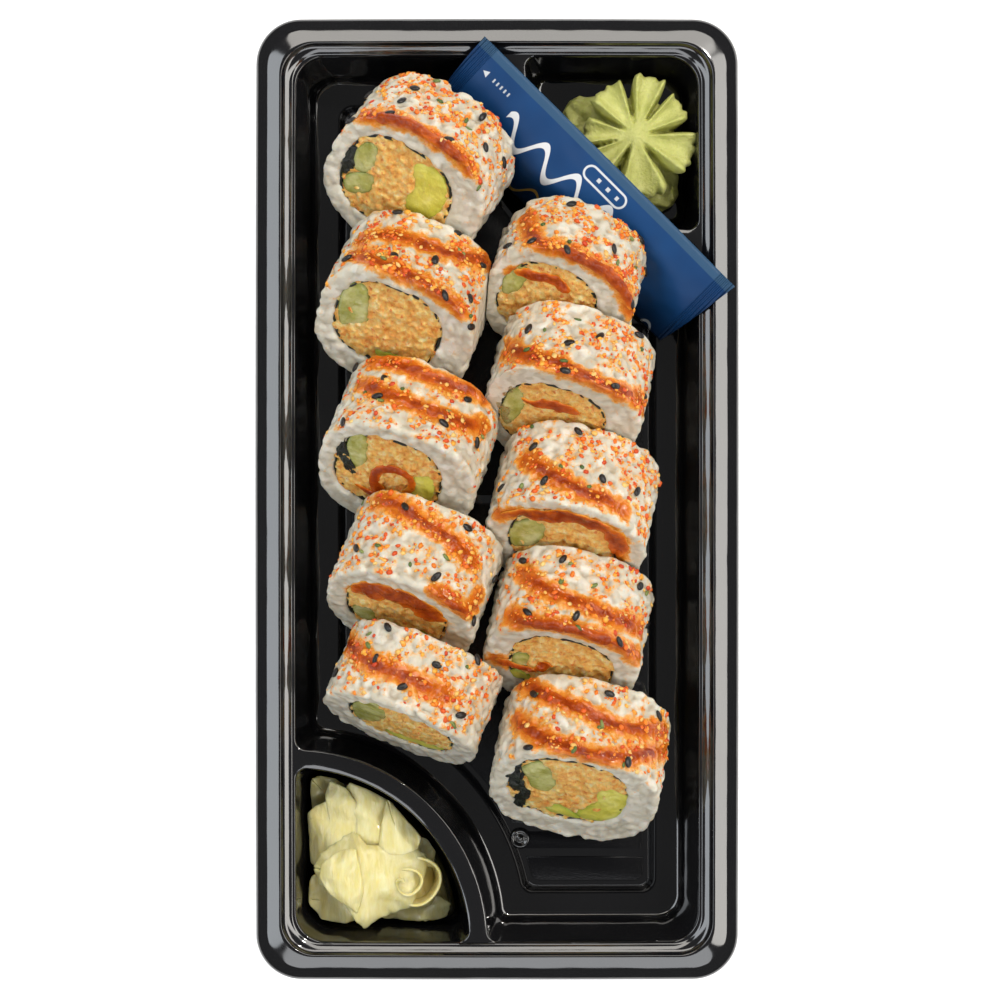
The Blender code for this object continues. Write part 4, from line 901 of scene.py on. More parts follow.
brown_sauce, nodes, links, shader, where = start_finish("brown_sauce", (0.3, 0.08, 0.01), 0.09)
depth_value = nodes.new("ShaderNodeAttribute")
depth_value.attribute_name = "depth"
uneven = nodes.new("ShaderNodeMath")
uneven.operation = 'MULTIPLY_ADD'
links.new(noise_field(nodes, links, where, 330, 4, 0.6), uneven.inputs[0])
uneven.inputs[1].default_value = 1.4
links.new(depth_value.outputs["Fac"], uneven.inputs[2])
shifted = nodes.new("ShaderNodeMath")
shifted.operation = 'SUBTRACT'
links.new(uneven.outputs[0], shifted.inputs[0])
shifted.inputs[1].default_value = 0.78
links.new(ramp(nodes, links, shifted.outputs[0], (0.05, (0.80, 0.36, 0.045)), (0.3, (0.74, 0.20, 0.012)),
               (0.6, (0.54, 0.090, 0.005)), (1.0, (0.27, 0.032, 0.003))), shader.inputs["Base Color"])
shader.inputs["Specular IOR Level"].default_value = 0.3
links.new(relief(nodes, links, noise_field(nodes, links, where, 520, 3), 0.0007), shader.inputs["Normal"])

band_paths = {name: [] for name in ROLLS}
for number, name in enumerate(ROLLS):
    draw = random.Random(80 + number)
    length = ROLLS[name][7] * MM
    for band, (points, width) in enumerate(SAUCE_BANDS[name]):
        path = curve_through([(math.radians(a) * 19.2 * MM, s * length) for a, s in points], 14)
        rows, columns = len(path) - 1, 14
        bm = bmesh.new()
        places = {}
        depths = {}
        for j, spot in enumerate(path):
            ahead = path[min(j + 1, rows)] - path[max(j - 1, 0)]
            across = Vector((-ahead.y, ahead.x)).normalized()
            tip = min(j, rows - j) / 8
            on_face = spot.y > ROLLS[name][7] / 2 * MM
            half_width = width * (0.55 if on_face else 0.39) * MM * math.sqrt(min(1, 0.1 + tip)) * (1 + 0.45 * noise.noise(
                Vector((j * 0.2, number * 3.1, band * 7.7))))
            for i in range(columns + 1):
                share = 2 * i / columns - 1
                ragged = 1 + 0.35 * noise.noise(Vector((j * 0.45, math.copysign(3, share), number + band * 5)))
                flat = spot + across * share * half_width * ragged
                over, outward = wrap_point(name, flat.x, flat.y)
                place, way = nearest_skin(name, over, outward, 5 * MM)
                places[i, j] = (place, way)
                depths[i, j] = math.sqrt(max(1 - share ** 2, 0)) * math.sqrt(min(1, 0.15 + tip))
        band_paths[name] += [places[columns // 2, j][0] for j in range(rows + 1)]
        even = {key: value[0].copy() for key, value in places.items()}
        for _ in range(4):
            last = {key: value.copy() for key, value in even.items()}
            for (i, j), value in last.items():
                near = [last[key] for key in ((i - 1, j), (i + 1, j), (i, j - 1), (i, j + 1)) if key in last]
                even[i, j] = value.lerp(sum(near, Vector()) / len(near), 0.5)
        sheet_of_quads(bm, columns, rows, lambda i, j: even[i, j] + places[i, j][1] * (
            SAUCE_DEPTH * (depths[i, j] + 0.7 * noise.noise(even[i, j] / (2.2 * MM))) - 0.3 * MM * (1 - depths[i, j])
            + 0.35 * MM * (path[j].y > length / 2)))
        bmesh.ops.recalc_face_normals(bm, faces=bm.faces)
        outer = sum((face.normal.dot(frames[name].to_3x3() @ Vector((0, 1, 0.4))) for face in bm.faces))
        if outer < 0:
            bmesh.ops.reverse_faces(bm, faces=bm.faces)
        values = [depths[round(v.index % (columns + 1)), v.index // (columns + 1)] for v in bm.verts]
        made = piece("sauce_%s_%d" % (name, band), bm, brown_sauce)
        store(made.data, "depth", values)
        body = made.modifiers.new("body", 'SOLIDIFY')
        body.thickness = 0.5 * MM
        body.offset = -1
        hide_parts("rice_" + name)


# Toppings: ground chilli and toasted crumbs, black sesame and snips of spring onion, sprinkled over
# the tops of the rolls. They are small loose solids that lie on the grains, in one piece for each kind.

FLAKES = {"left_1": 600, "left_2": 640, "left_3": 400, "left_4": 480, "left_5": 380, "right_1": 640,
          "right_2": 540, "right_3": 500, "right_4": 400, "right_5": 320}
SEEDS = {"left_1": 9, "left_2": 9, "left_3": 7, "left_4": 6, "left_5": 7, "right_1": 8, "right_2": 7,
         "right_3": 6, "right_4": 7, "right_5": 5}


def sprinkle(name, draw, spread, clumps=False):
    """Pick a place on top of a roll's rice, and the way out of it there."""
    while True:
        angle = math.radians(draw.gauss(0, spread))
        height = draw.uniform(-0.47, 0.47) * ROLLS[name][7] * MM
        if abs(angle) > math.radians(82):
            continue
        x, y = round_square(name, angle, 0)
        spot, outward = Vector((x, y, height)), Vector((x, y, 0)).normalized()
        world = frames[name] @ (spot + outward * 4 * MM)
        place, normal, _, _ = rice_trees[name].ray_cast(world, -(frames[name].to_3x3() @ outward), 9 * MM)
        if place is None:
            continue
        if clumps and noise.noise(place / (4 * MM)) * 1.5 + 0.25 < draw.uniform(-0.2, 0.7):
            continue
        if all(place.dot(Vector(plane)) < offset - 0.5 * MM for plane, offset in planes[name]):
            return place, normal, frames[name].to_3x3() @ outward


def scatter(name, finish, shapes, faces):
    """Build all the bits of one kind from (matrix, tint) pairs, each with a number of faces."""
    bm = bmesh.new()
    tints = []
    for _, tint in shapes:
        tints += [tint] * len(BALLS[faces].vertices)
    lay_copies(bm, BALLS[faces], [matrix for matrix, _ in shapes])
    made = piece(name, bm, finish)
    store(made.data, "tint", tints)
    return made


chilli_flakes, nodes, links, shader, where = start_finish("chilli_flakes", (0.8, 0.25, 0.03), 0.45)
tint_value = nodes.new("ShaderNodeAttribute")
tint_value.attribute_name = "tint"
links.new(ramp(nodes, links, tint_value.outputs["Fac"], (0.0, (0.62, 0.05, 0.005)), (0.2, (0.82, 0.13, 0.008)),
               (0.5, (0.90, 0.27, 0.012)), (0.75, (0.92, 0.44, 0.05)), (1.0, (0.88, 0.62, 0.22))),
          shader.inputs["Base Color"])
flake_shapes = []
stain_spots = {name: [] for name in ROLLS}
for number, name in enumerate(ROLLS):
    draw = random.Random(1200 + number)
    for _ in range(FLAKES[name]):
        place, normal, outward = sprinkle(name, draw, 42, True)
        size = 0.55 + 1.35 * draw.random() ** 2.2
        shape = (size * MM, size * draw.uniform(0.5, 0.9) * MM, size * draw.uniform(0.3, 0.55) * MM, 1)
        lay = normal.lerp(outward, 0.4).to_track_quat('Z', 'Y').to_matrix().to_4x4()
        turn = Matrix.Rotation(draw.uniform(0, 6.3), 4, 'Z') @ Matrix.Rotation(draw.gauss(0, 0.3), 4, 'X')
        flake_shapes.append((Matrix.Translation(place + normal * 0.06 * MM) @ lay @ turn @ Matrix.Diagonal(shape),
                             draw.random()))
        stain_spots[name].append(place)
scatter("flakes", chilli_flakes, flake_shapes, 1)

sesame_black, nodes, links, shader, where = start_finish("sesame_black", (0.012, 0.010, 0.009), 0.3)
links.new(relief(nodes, links, noise_field(nodes, links, where, 2500, 2), 0.0001), shader.inputs["Normal"])
seed_shapes = []
for number, name in enumerate(ROLLS):
    draw = random.Random(1500 + number)
    laid = []
    for _ in range(SEEDS[name]):
        tries = [sprinkle(name, draw, 38) for _ in range(6)]
        place, normal, outward = max(tries, key=lambda found: min([(found[0] - other).length for other in laid] + [1]))
        laid.append(place)
        shape = (draw.uniform(2.6, 3.1) * MM, draw.uniform(1.5, 1.8) * MM, 1.0 * MM, 1)
        lay = normal.lerp(outward, 0.5).to_track_quat('Z', 'Y').to_matrix().to_4x4()
        turn = Matrix.Rotation(draw.uniform(0, 6.3), 4, 'Z')
        seed_shapes.append((Matrix.Translation(place + outward * 0.3 * MM) @ lay @ turn @ Matrix.Diagonal(shape),
                            draw.random()))
scatter("sesame_seeds", sesame_black, seed_shapes, 2)

onion_green, nodes, links, shader, where = start_finish("onion_green", (0.10, 0.16, 0.03), 0.35)
tint_value = nodes.new("ShaderNodeAttribute")
tint_value.attribute_name = "tint"
links.new(ramp(nodes, links, tint_value.outputs["Fac"], (0.0, (0.06, 0.12, 0.02)), (1.0, (0.25, 0.30, 0.08))),
          shader.inputs["Base Color"])
snip_shapes = []
for number, name in enumerate(ROLLS):
    draw = random.Random(1800 + number)
    for _ in range(5):
        place, normal, outward = sprinkle(name, draw, 34)
        shape = (draw.uniform(1.4, 2.8) * MM, draw.uniform(0.9, 1.4) * MM, 0.5 * MM, 1)
        lay = normal.lerp(outward, 0.5).to_track_quat('Z', 'Y').to_matrix().to_4x4()
        turn = Matrix.Rotation(draw.uniform(0, 6.3), 4, 'Z')
        snip_shapes.append((Matrix.Translation(place + outward * 0.15 * MM) @ lay @ turn @ Matrix.Diagonal(shape),
                            draw.random()))
scatter("onion_snips", onion_green, snip_shapes, 1)

for name, made in rice_pieces.items():
    flakes = KDTree(len(stain_spots[name]))
    for i, spot in enumerate(stain_spots[name]):
        flakes.insert(spot, i)
    flakes.balance()
    bands = KDTree(len(band_paths[name]))
    for i, spot in enumerate(band_paths[name]):
        bands.insert(spot, i)
    bands.balance()
    stain = []
    for vert in made.data.vertices:
        near_flake = flakes.find(vert.co)[2] / MM
        near_band = bands.find(vert.co)[2] / MM
        stain.append(min(1, 0.20 * math.exp(-(near_flake / 1.3) ** 2) + 0.74 * math.exp(-(near_band / 2.7) ** 3)))
    store(made.data, "stain", stain)


# Wasabi: a star of seven petals, piped over a short ribbed rope of the same smooth green paste.

WASABI = Vector((33.3 * MM, 87.3 * MM))
PETALS = (16, 55, 106, 173, 240, 270, 327)
PETAL_REACH = (14.6, 13.2, 14.6, 15.2, 12.8, 12.6, 13.6)
PETAL_TOP = 20.6 * MM
POCKET_FLOOR = SHEET + GAP


def petal_at(angle):
    """Return a direction's place in its petal, 0 in the middle and 1 in the groove, and the petal's reach."""
    best = None
    count = len(PETALS)
    for i, middle in enumerate(PETALS):
        away = (angle - middle + 180) % 360 - 180
        next_gap = (PETALS[(i + 1) % count] - middle) % 360 / 2
        last_gap = (middle - PETALS[(i - 1) % count]) % 360 / 2
        share = away / next_gap if away > 0 else -away / last_gap
        if best is None or share < best[0]:
            best = (share, PETAL_REACH[i] * MM)
    return best


PASTE_RINGS = [(0.0, 0.0), (0.74, 0.0), (0.80, 0.2), (0.86, 0.42), (0.92, 0.58), (0.97, 0.72), (1.0, 0.84), (0.99, 0.92),
               (0.94, 0.97), (0.86, 0.985), (0.74, 0.965), (0.6, 0.94), (0.46, 0.925), (0.32, 0.92), (0.2, 0.925),
               (0.1, 0.95), (0.0, 0.97)]
star_bm = bmesh.new()


def star_point(i, j):
    """Place a point of the star: petals with raised lips and narrow grooves between them."""
    angle = 360 * i / 252
    share, level = PASTE_RINGS[j]
    place, reach = petal_at(angle)
    depth = min(max((share - 0.12) / 0.35, 0), 1)
    notch = max(place - 0.66, 0) / 0.34
    groove = 0.60 * notch ** 1.6 * (0.35 + 0.65 * level) * depth
    ruffle = 1 + (0.030 * math.cos(angle * 0.50 + level * 5) + 0.022 * math.cos(angle * 0.83 + level * 3)) * level * share
    radius = reach * share * (1 - groove) * ruffle
    dent = 8.5 * MM * notch ** 1.3 * level * depth
    lip = 1.0 * MM * math.exp(-((place - 0.62) / 0.16) ** 2) * level * depth
    hollow = 1.3 * MM * max(1 - place / 0.6, 0) * depth * level * min(share / 0.7, 1)
    height = POCKET_FLOOR + (PETAL_TOP - POCKET_FLOOR - 0.9 * MM) * level - dent + lip - hollow
    turn = math.radians(angle)
    return Vector((WASABI.x + radius * math.sin(turn), WASABI.y + radius * math.cos(turn), max(height, POCKET_FLOOR)))


sheet_of_quads(star_bm, 252, len(PASTE_RINGS) - 1, star_point)
bmesh.ops.remove_doubles(star_bm, verts=star_bm.verts, dist=0.00001)
bmesh.ops.recalc_face_normals(star_bm, faces=star_bm.faces)
rope_middle = WASABI + Vector((-3.2, -3.2)) * MM
rope_along = Vector((1, -1)).normalized()
rope_side = Vector((1, 1)).normalized()


def rope_point(i, j):
    """Place a point of the rope: a ribbed sausage with lumps at both ends, flat underneath."""
    share = -1 + 2 * j / 40
    round_off = math.sqrt(max(1 - abs(share) ** 4, 0))
    wave = 1 + 0.13 * math.cos(j * 1.25)
    turn = 2 * math.pi * i / 60
    rib = 1 - 0.26 * abs(math.sin(turn * 3.5 + share * 2.2)) ** 3
    spot = rope_middle + rope_along * share * 18 * MM + rope_side * 7.2 * MM * round_off * wave * rib * math.cos(turn)
    height = POCKET_FLOOR + 11.5 / 2 * MM * (1 + round_off * wave * rib * math.sin(turn)) - 0.4 * MM
    return Vector((spot.x, spot.y, max(height, POCKET_FLOOR)))


sheet_of_quads(star_bm, 60, 40, rope_point)
paste_bm = melted(star_bm, "wasabi", 0.4 * MM, 2)
wasabi_paste, nodes, links, shader, where = start_finish("wasabi_paste", (0.55, 0.60, 0.22), 0.5)
links.new(ramp(nodes, links, noise_field(nodes, links, where, 260, 4), (0.35, (0.49, 0.50, 0.13)),
               (0.65, (0.60, 0.60, 0.20))), shader.inputs["Base Color"])
shader.inputs["Subsurface Weight"].default_value = 0.3
shader.inputs["Subsurface Radius"].default_value = (0.8, 1.0, 0.3)
shader.inputs["Subsurface Scale"].default_value = 0.001
links.new(relief(nodes, links, noise_field(nodes, links, where, 1300, 4), 0.0004), shader.inputs["Normal"])
wasabi = piece("wasabi_star", paste_bm, wasabi_paste)
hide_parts("wasabi")


# Ginger: thin slices of pickled ginger in a loose heap, see-through at their edges and wet with brine.
# Each slice is a bent sheet with its own torn outline, given its thickness; one is rolled up on end. They
# lie on a low heap of the same, in a shallow pool of brine.

# z in the middle, rise across, rise up the photo, bulge, then the outline: x and y in millimetres
SLICES = [
    (8.5, -0.10, 0.05, 0.6, [(-45.1, -67.8), (-42.7, -66.9), (-39.4, -67.8), (-36.9, -69.6), (-36.9, -75.9), (-41.2, -77.0),
                             (-44.9, -76.0), (-45.4, -70.7)]),
    (12.2, 0.16, 0.08, 1.0, [(-48.5, -76.4), (-45.7, -75.8), (-43.9, -74.2), (-41.0, -72.8), (-41.3, -70.6), (-40.3, -67.9),
                             (-36.6, -69.5), (-34.3, -72.4), (-32.7, -77.4), (-31.1, -84.7), (-36.6, -88.9), (-41.0, -90.0),
                             (-45.0, -88.5), (-46.8, -80.7)]),
    (13.2, 0.06, 0.05, 1.6, [(-36.6, -69.8), (-35.5, -68.2), (-30.8, -70.1), (-27.6, -71.9), (-25.1, -73.0), (-24.2, -77.3),
                             (-25.3, -84.6), (-28.8, -88.8), (-33.7, -86.7), (-35.8, -78.7), (-36.7, -74.1)]),
    (14.2, -0.22, 0.10, 1.2, [(-26.5, -72.0), (-23.2, -75.8), (-18.2, -81.6), (-19.4, -85.7), (-24.0, -88.7), (-28.8, -86.4),
                              (-27.9, -78.3)]),
    (10.5, -0.25, 0.1, 0.8, [(-22.4, -80.7), (-17.2, -82.3), (-15.0, -85.5), (-15.4, -89.4), (-20.6, -88.2)]),
    (5.6, 0.05, 0.12, 0.5, [(-29.7, -100.6), (-26.1, -96.9), (-20.2, -96.1), (-14.1, -96.3), (-11.1, -98.4), (-12.2, -101.6),
                            (-17.0, -103.0), (-21.7, -103.9), (-24.3, -104.6), (-26.4, -103.8)]),
    (10.6, 0.15, 0.10, 1.0, [(-47.4, -96.7), (-44.6, -90.6), (-38.8, -92.3), (-34.2, -95.9), (-32.6, -101.0), (-36.7, -102.7),
                             (-42.5, -102.0), (-44.3, -99.6)]),
    (15.6, -0.05, -0.02, 2.6, [(-44.4, -88.7), (-42.6, -85.4), (-38.7, -82.5), (-35.4, -80.0), (-33.6, -80.9),
                               (-31.5, -83.3), (-25.0, -83.6), (-19.9, -84.0), (-16.7, -86.1), (-17.1, -90.1),
                               (-19.2, -94.8), (-20.7, -98.4), (-25.7, -100.2), (-28.9, -101.3), (-31.8, -103.4),
                               (-34.0, -101.6), (-35.4, -99.5), (-39.0, -94.8), (-43.0, -92.6)]),
    (17.4, 0.05, -0.06, 1.4, [(-38.9, -85.2), (-36.4, -84.1), (-33.9, -83.9), (-32.8, -88.8), (-32.1, -94.5),
                              (-33.5, -99.6), (-35.3, -98.1), (-40.0, -95.2), (-42.9, -90.9), (-42.1, -87.4)]),
]


def keep_in_pocket(place):
    """Move a point of the ginger clear of its pocket's walls and floor."""
    margin = 1.1 * MM + 2.9 * MM * (1 - min(place.z / DECK, 1))
    place.x = max(place.x, -POCKET_X + margin)
    place.y = max(place.y, -POCKET_Y + margin)
    corner = Vector((-POCKET_X, -POCKET_Y, 0))
    flat = Vector((place.x, place.y, 0)) - corner
    if flat.length > RIDGE_INNER - margin:
        flat.length = RIDGE_INNER - margin
        place.x, place.y = corner.x + flat.x, corner.y + flat.y
    place.z = min(max(place.z, SHEET + GAP), 20.5 * MM)
    return place


ginger_slice, nodes, links, shader, where = start_finish("ginger_slice", (0.82, 0.74, 0.36), 0.28)
strands = nodes.new("ShaderNodeMapping")
strands.inputs["Scale"].default_value = (1.0, 0.2, 1.0)
strands.inputs["Rotation"].default_value = (0, 0, 0.5)
links.new(where, strands.inputs["Vector"])
thin_value = nodes.new("ShaderNodeAttribute")
thin_value.attribute_name = "thin"
fibre = ramp(nodes, links, noise_field(nodes, links, strands.outputs[0], 600, 4), (0.3, (0.82, 0.67, 0.24)),
             (0.7, (0.93, 0.81, 0.44)))
links.new(blend(nodes, links, thin_value.outputs["Fac"], fibre, (0.46, 0.46, 0.22)), shader.inputs["Base Color"])
shader.inputs["Subsurface Weight"].default_value = 0.6
shader.inputs["Subsurface Radius"].default_value = (1.0, 0.8, 0.35)
shader.inputs["Subsurface Scale"].default_value = 0.002
shader.inputs["Coat Weight"].default_value = 0.2
shader.inputs["Coat Roughness"].default_value = 0.12
links.new(relief(nodes, links, noise_field(nodes, links, strands.outputs[0], 700, 3), 0.00035),
          shader.inputs["Normal"])
ginger_pieces = []
for number, (level, across, upward, bulge, outline) in enumerate(SLICES):
    slice_bm = bmesh.new()
    corners = [Vector(corner) * MM for corner in outline]
    edge = []
    for a, b in zip(corners, corners[1:] + corners[:1]):
        edge += [a.lerp(b, k / 6) for k in range(6)]
    middle = sum(edge, Vector((0, 0))) / len(edge)

    def slice_point(i, j):
        """Place a point of a slice, from its middle out to its torn edge."""
        share = j / 10
        flat = middle.lerp(edge[i % len(edge)], share * (1 + 0.05 * share * noise.noise(Vector((i * 0.7, number, 0)))))
        away = flat - middle
        fold = noise.noise(Vector((flat.x / (7 * MM), flat.y / (7 * MM), number * 2.1)))
        frill = noise.noise(Vector((flat.x / (2.6 * MM), flat.y / (2.6 * MM), number * 4.7)))
        height = (level * MM + across * away.x + upward * away.y + bulge * MM * (0.4 - share ** 2)
                  + 2.2 * MM * fold + 1.1 * MM * frill * share ** 2)
        return keep_in_pocket(Vector((flat.x, flat.y, height)))

    sheet_of_quads(slice_bm, len(edge), 10, slice_point)
    bmesh.ops.remove_doubles(slice_bm, verts=slice_bm.verts, dist=0.00001)
    thin = [min(1, max(0, (Vector(vert.co.xy) - middle).length / (7 * MM) - 0.6) * 0.5
                + (0.45 if number in (0, 5) else 0.12 if number == 1 else 0)) for vert in slice_bm.verts]
    made = piece("ginger_slice_%d" % number, slice_bm, ginger_slice)
    store(made.data, "thin", thin)
    body = made.modifiers.new("body", 'SOLIDIFY')
    body.thickness = 0.8 * MM
    body.offset = 0
    rounding = made.modifiers.new("rounding", 'SUBSURF')
    rounding.levels = rounding.render_levels = 1
    ginger_pieces.append(made)

# the rolled slice stands on end: its middle, turns, first and last radius, height
CURL = (-23.0, -92.6, 2.15, 0.9, 6.6, 13.0)
curl_bm = bmesh.new()


def curl_point(i, j):
    """Place a point of the rolled slice, wound outwards and leaning open at its top."""
    share, rise = i / 72, j / 8
    turn = 2 * math.pi * CURL[2] * share + 0.8
    radius = (CURL[3] + (CURL[4] - CURL[3]) * share) * (0.60 + 0.40 * rise ** 0.7) * (1 + 0.05 * math.sin(turn * 3))
    top = 18.4 - 4.2 * share + 0.8 * math.sin(turn + 0.5)
    middle_x = CURL[0] + 4.0 * share
    return keep_in_pocket(Vector((middle_x + radius * math.cos(turn), CURL[1] + radius * math.sin(turn),
                                  top - CURL[5] * (1 - rise))) * MM)


sheet_of_quads(curl_bm, 72, 8, curl_point)
bmesh.ops.remove_doubles(curl_bm, verts=curl_bm.verts, dist=0.00001)
curl_count = len(curl_bm.verts)
curled = piece("ginger_roll", curl_bm, ginger_slice)
store(curled.data, "thin", [0.05] * curl_count)
body = curled.modifiers.new("body", 'SOLIDIFY')
body.thickness = 0.8 * MM
body.offset = 0
rounding = curled.modifiers.new("rounding", 'SUBSURF')
rounding.levels = rounding.render_levels = 1
ginger_pieces.append(curled)
heap_bm = bmesh.new()
HEAP_RINGS = [(40, 0), (4.2, 0), (4.8, 0.4), (7, 0.8), (10, 1.15), (14, 1.3), (40, 1.35)]


def heap_point(i, j):
    """Place a point of the heap under the slices."""
    inset, level = HEAP_RINGS[j]
    outline = side_outline(min(inset, 14) * MM, 1)
    x, y = outline[i % len(outline)] if inset < 40 else (-30 * MM, -90 * MM)
    height = SHEET + GAP + level * 8 * MM + (0.9 * MM * noise.noise(Vector((x, y, level)) / MM * 0.2) if level else 0)
    return Vector((x, y, height))


sheet_of_quads(heap_bm, len(side_outline(0, 1)), len(HEAP_RINGS) - 1, heap_point)
bmesh.ops.remove_doubles(heap_bm, verts=heap_bm.verts, dist=0.00001)
bmesh.ops.recalc_face_normals(heap_bm, faces=heap_bm.faces)
heap_count = len(heap_bm.verts)
heap = piece("ginger_heap", heap_bm, ginger_slice)
store(heap.data, "thin", [0.4] * heap_count)
ginger_pieces.append(heap)

brine_wet, nodes, links, shader, where = start_finish("brine_wet", (0.045, 0.04, 0.010), 0.06)
links.new(ramp(nodes, links, noise_field(nodes, links, where, 60, 3), (0.35, (0.012, 0.011, 0.004)),
               (0.65, (0.085, 0.072, 0.018))), shader.inputs["Base Color"])
links.new(relief(nodes, links, noise_field(nodes, links, where, 150, 2), 0.0006), shader.inputs["Normal"])
brine_bm = bmesh.new()
BRINE = [(40, 0.9), (3.7, 0.9), (3.3, 1.6), (4.2, 1.85), (7, 1.85), (40, 1.85)]


def brine_point(i, j):
    """Place a point of the pool: flat, with its edge drawn up the fillet of the wall."""
    inset, height = BRINE[j]
    outline = side_outline(min(inset, 12) * MM, 1)
    x, y = outline[i % len(outline)] if inset < 40 else (-30 * MM, -90 * MM)
    return Vector((x, y, height * MM))


sheet_of_quads(brine_bm, len(side_outline(0, 1)), len(BRINE) - 1, brine_point)
bmesh.ops.remove_doubles(brine_bm, verts=brine_bm.verts, dist=0.00001)
bmesh.ops.recalc_face_normals(brine_bm, faces=brine_bm.faces)
ginger_pieces.append(piece("ginger_brine", brine_bm, brine_wet))
for made in ginger_pieces:
    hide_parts("ginger")


# Sachet: a flat pillow of soy sauce in printed blue film, crimped along its edges. It lies on the rim
# and the wasabi's ridge and bends down behind the rolls. The film is made from its solid's own shape.

SACHET_CORNER = Vector((-2.9 * MM, 109.9 * MM))
SACHET_ALONG, SACHET_DOWN = Vector((1, -1)).normalized(), Vector((-1, -1)).normalized()
sachet_bm = bmesh.new()
sachet_bm.from_mesh(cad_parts["sachet"].data)
bmesh.ops.remove_doubles(sachet_bm, verts=sachet_bm.verts, dist=0.00001)
bmesh.ops.join_triangles(sachet_bm, faces=sachet_bm.faces, angle_face_threshold=1.2, angle_shape_threshold=1.2)
for old in sachet_bm.verts.layers.float_vector[:]:
    sachet_bm.verts.layers.float_vector.remove(old)
rims = sachet_bm.edges.layers.float.new("crease_edge")
for edge in sachet_bm.edges:
    if edge.calc_face_angle(0) > 0.9:
        edge[rims] = 1.0


def number_node(nodes, links, how, first, second=None, third=None):
    """Work out one number from others, each a socket or a plain number."""
    made = nodes.new("ShaderNodeMath")
    made.operation = how
    for socket, value in zip(made.inputs, (first, second, third)):
        if isinstance(value, bpy.types.NodeSocket):
            links.new(value, socket)
        elif value is not None:
            socket.default_value = value
    return made.outputs[0]


printed_film, nodes, links, shader, where = start_finish("printed_film", (0.02, 0.09, 0.24), 0.48)
shader.inputs["Specular IOR Level"].default_value = 0.28
turned = nodes.new("ShaderNodeMapping")
turned.vector_type = 'POINT'
turned.inputs["Rotation"].default_value = (0, 0, math.radians(45))
turned.inputs["Location"].default_value = (-SACHET_CORNER.dot(SACHET_ALONG), -(SACHET_CORNER.x + SACHET_CORNER.y)
                                           / math.sqrt(2), 0)
links.new(where, turned.inputs["Vector"])
parts = nodes.new("ShaderNodeSeparateXYZ")
links.new(turned.outputs[0], parts.inputs[0])
along = number_node(nodes, links, 'MULTIPLY', parts.outputs[0], 1000)
down = number_node(nodes, links, 'MULTIPLY', parts.outputs[1], -1000)


def within(value, middle, half_width):
    """Make a mask of where a value is within so much of a middle, with a soft step."""
    away = number_node(nodes, links, 'ABSOLUTE', number_node(nodes, links, 'SUBTRACT', value, middle))
    rest = number_node(nodes, links, 'SUBTRACT', half_width, away)
    grown = number_node(nodes, links, 'MULTIPLY', rest, 8)
    grown.node.use_clamp = True
    return grown


def both(first, second):
    """Make a mask of where two masks meet."""
    return number_node(nodes, links, 'MULTIPLY', first, second)


cloud = noise_field(nodes, links, where, 30, 3)
blue = ramp(nodes, links, cloud, (0.3, (0.003, 0.034, 0.120)), (0.7, (0.006, 0.066, 0.215)))
depth_down = number_node(nodes, links, 'MULTIPLY_ADD', cloud, 9.0, down)
colour = blend(nodes, links, ramp(nodes, links, number_node(nodes, links, 'DIVIDE', depth_down, 40),
                                  (0.48, (0, 0, 0)), (0.66, (1, 1, 1))), blue, (0.002, 0.014, 0.045))
colour = blend(nodes, links, within(down, 1.2, 1.3), colour, (0.030, 0.085, 0.17))
swing = number_node(nodes, links, 'MULTIPLY', number_node(nodes, links, 'SINE', number_node(
    nodes, links, 'MULTIPLY', along, 2 * math.pi / 10.5)), 3.0)
wave = within(number_node(nodes, links, 'SUBTRACT', down, swing), 11.2, 0.95)
colour = blend(nodes, links, both(wave, within(along, 39.5, 22.5)), colour, (0.72, 0.74, 0.76))
second = within(number_node(nodes, links, 'ADD', down, number_node(nodes, links, 'MULTIPLY', swing, 0.5)), 18.6, 0.35)
colour = blend(nodes, links, both(second, within(along, 31, 12)), colour, (0.50, 0.32, 0.06))
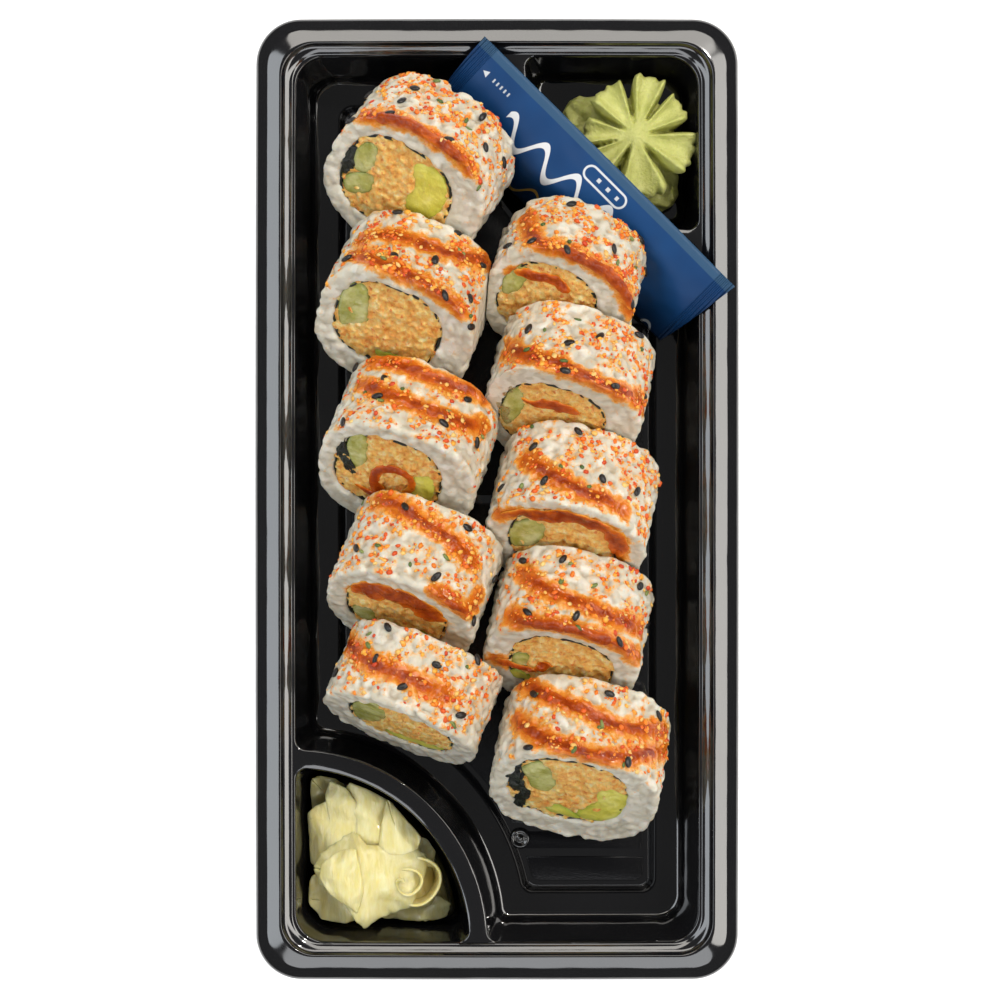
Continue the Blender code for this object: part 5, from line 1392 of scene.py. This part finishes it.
# a pale pill outline near the upper edge
pill_x = number_node(nodes, links, 'MAXIMUM', number_node(nodes, links, 'SUBTRACT', number_node(
    nodes, links, 'ABSOLUTE', number_node(nodes, links, 'SUBTRACT', along, 45.5)), 4.6), 0)
pill_y = number_node(nodes, links, 'SUBTRACT', down, 5.2)
pill = number_node(nodes, links, 'SQRT', number_node(nodes, links, 'ADD', number_node(
    nodes, links, 'MULTIPLY', pill_x, pill_x), number_node(nodes, links, 'MULTIPLY', pill_y, pill_y)))
colour = blend(nodes, links, within(pill, 1.75, 0.32), colour, (0.66, 0.69, 0.72))
dots = within(number_node(nodes, links, 'PINGPONG', along, 1.5), 1.5, 0.55)
colour = blend(nodes, links, both(both(dots, within(down, 5.2, 0.55)), within(along, 45.5, 4.4)), colour,
               (0.60, 0.63, 0.66))
# a small arrowhead and a row of ticks by the short edge, and a little ring at the other end
arrow = number_node(nodes, links, 'SUBTRACT', number_node(nodes, links, 'MULTIPLY', number_node(
    nodes, links, 'SUBTRACT', along, 5.3), 0.55), number_node(nodes, links, 'ABSOLUTE', number_node(
        nodes, links, 'SUBTRACT', down, 5.9)))
arrow = number_node(nodes, links, 'MULTIPLY', arrow, 8)
arrow.node.use_clamp = True
colour = blend(nodes, links, both(arrow, within(along, 6.1, 0.9)), colour, (0.66, 0.69, 0.72))
ticks = both(within(number_node(nodes, links, 'PINGPONG', along, 0.6), 0.6, 0.28), within(down, 5.9, 0.55))
colour = blend(nodes, links, both(ticks, within(along, 11.2, 2.9)), colour, (0.50, 0.54, 0.58))
ring_x = number_node(nodes, links, 'SUBTRACT', along, 75.2)
ring_y = number_node(nodes, links, 'SUBTRACT', down, 21.0)
ring = number_node(nodes, links, 'SQRT', number_node(nodes, links, 'ADD', number_node(
    nodes, links, 'MULTIPLY', ring_x, ring_x), number_node(nodes, links, 'MULTIPLY', ring_y, ring_y)))
colour = blend(nodes, links, within(ring, 1.5, 0.35), colour, (0.48, 0.52, 0.56))
links.new(colour, shader.inputs["Base Color"])
# the crimps of the two short seals, and wrinkles that run out of them
crimps = noise_field(nodes, links, turned.outputs[0], 60, 2)
seals = number_node(nodes, links, 'MAXIMUM', within(along, 2.2, 2.4), within(along, 81.8, 2.4))
ridges = number_node(nodes, links, 'MULTIPLY', number_node(nodes, links, 'SINE', number_node(
    nodes, links, 'MULTIPLY', along, 2 * math.pi / 0.9)), 0.12)
links.new(relief(nodes, links, number_node(nodes, links, 'MULTIPLY_ADD', ridges, seals, crimps), 0.0016),
          shader.inputs["Normal"])
sachet = piece("sachet_film", sachet_bm, printed_film)
sachet.data.materials.clear()
sachet.data.materials.append(printed_film)
film = sachet.modifiers.new("film", 'SUBSURF')
film.levels = film.render_levels = 2
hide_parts("sachet")
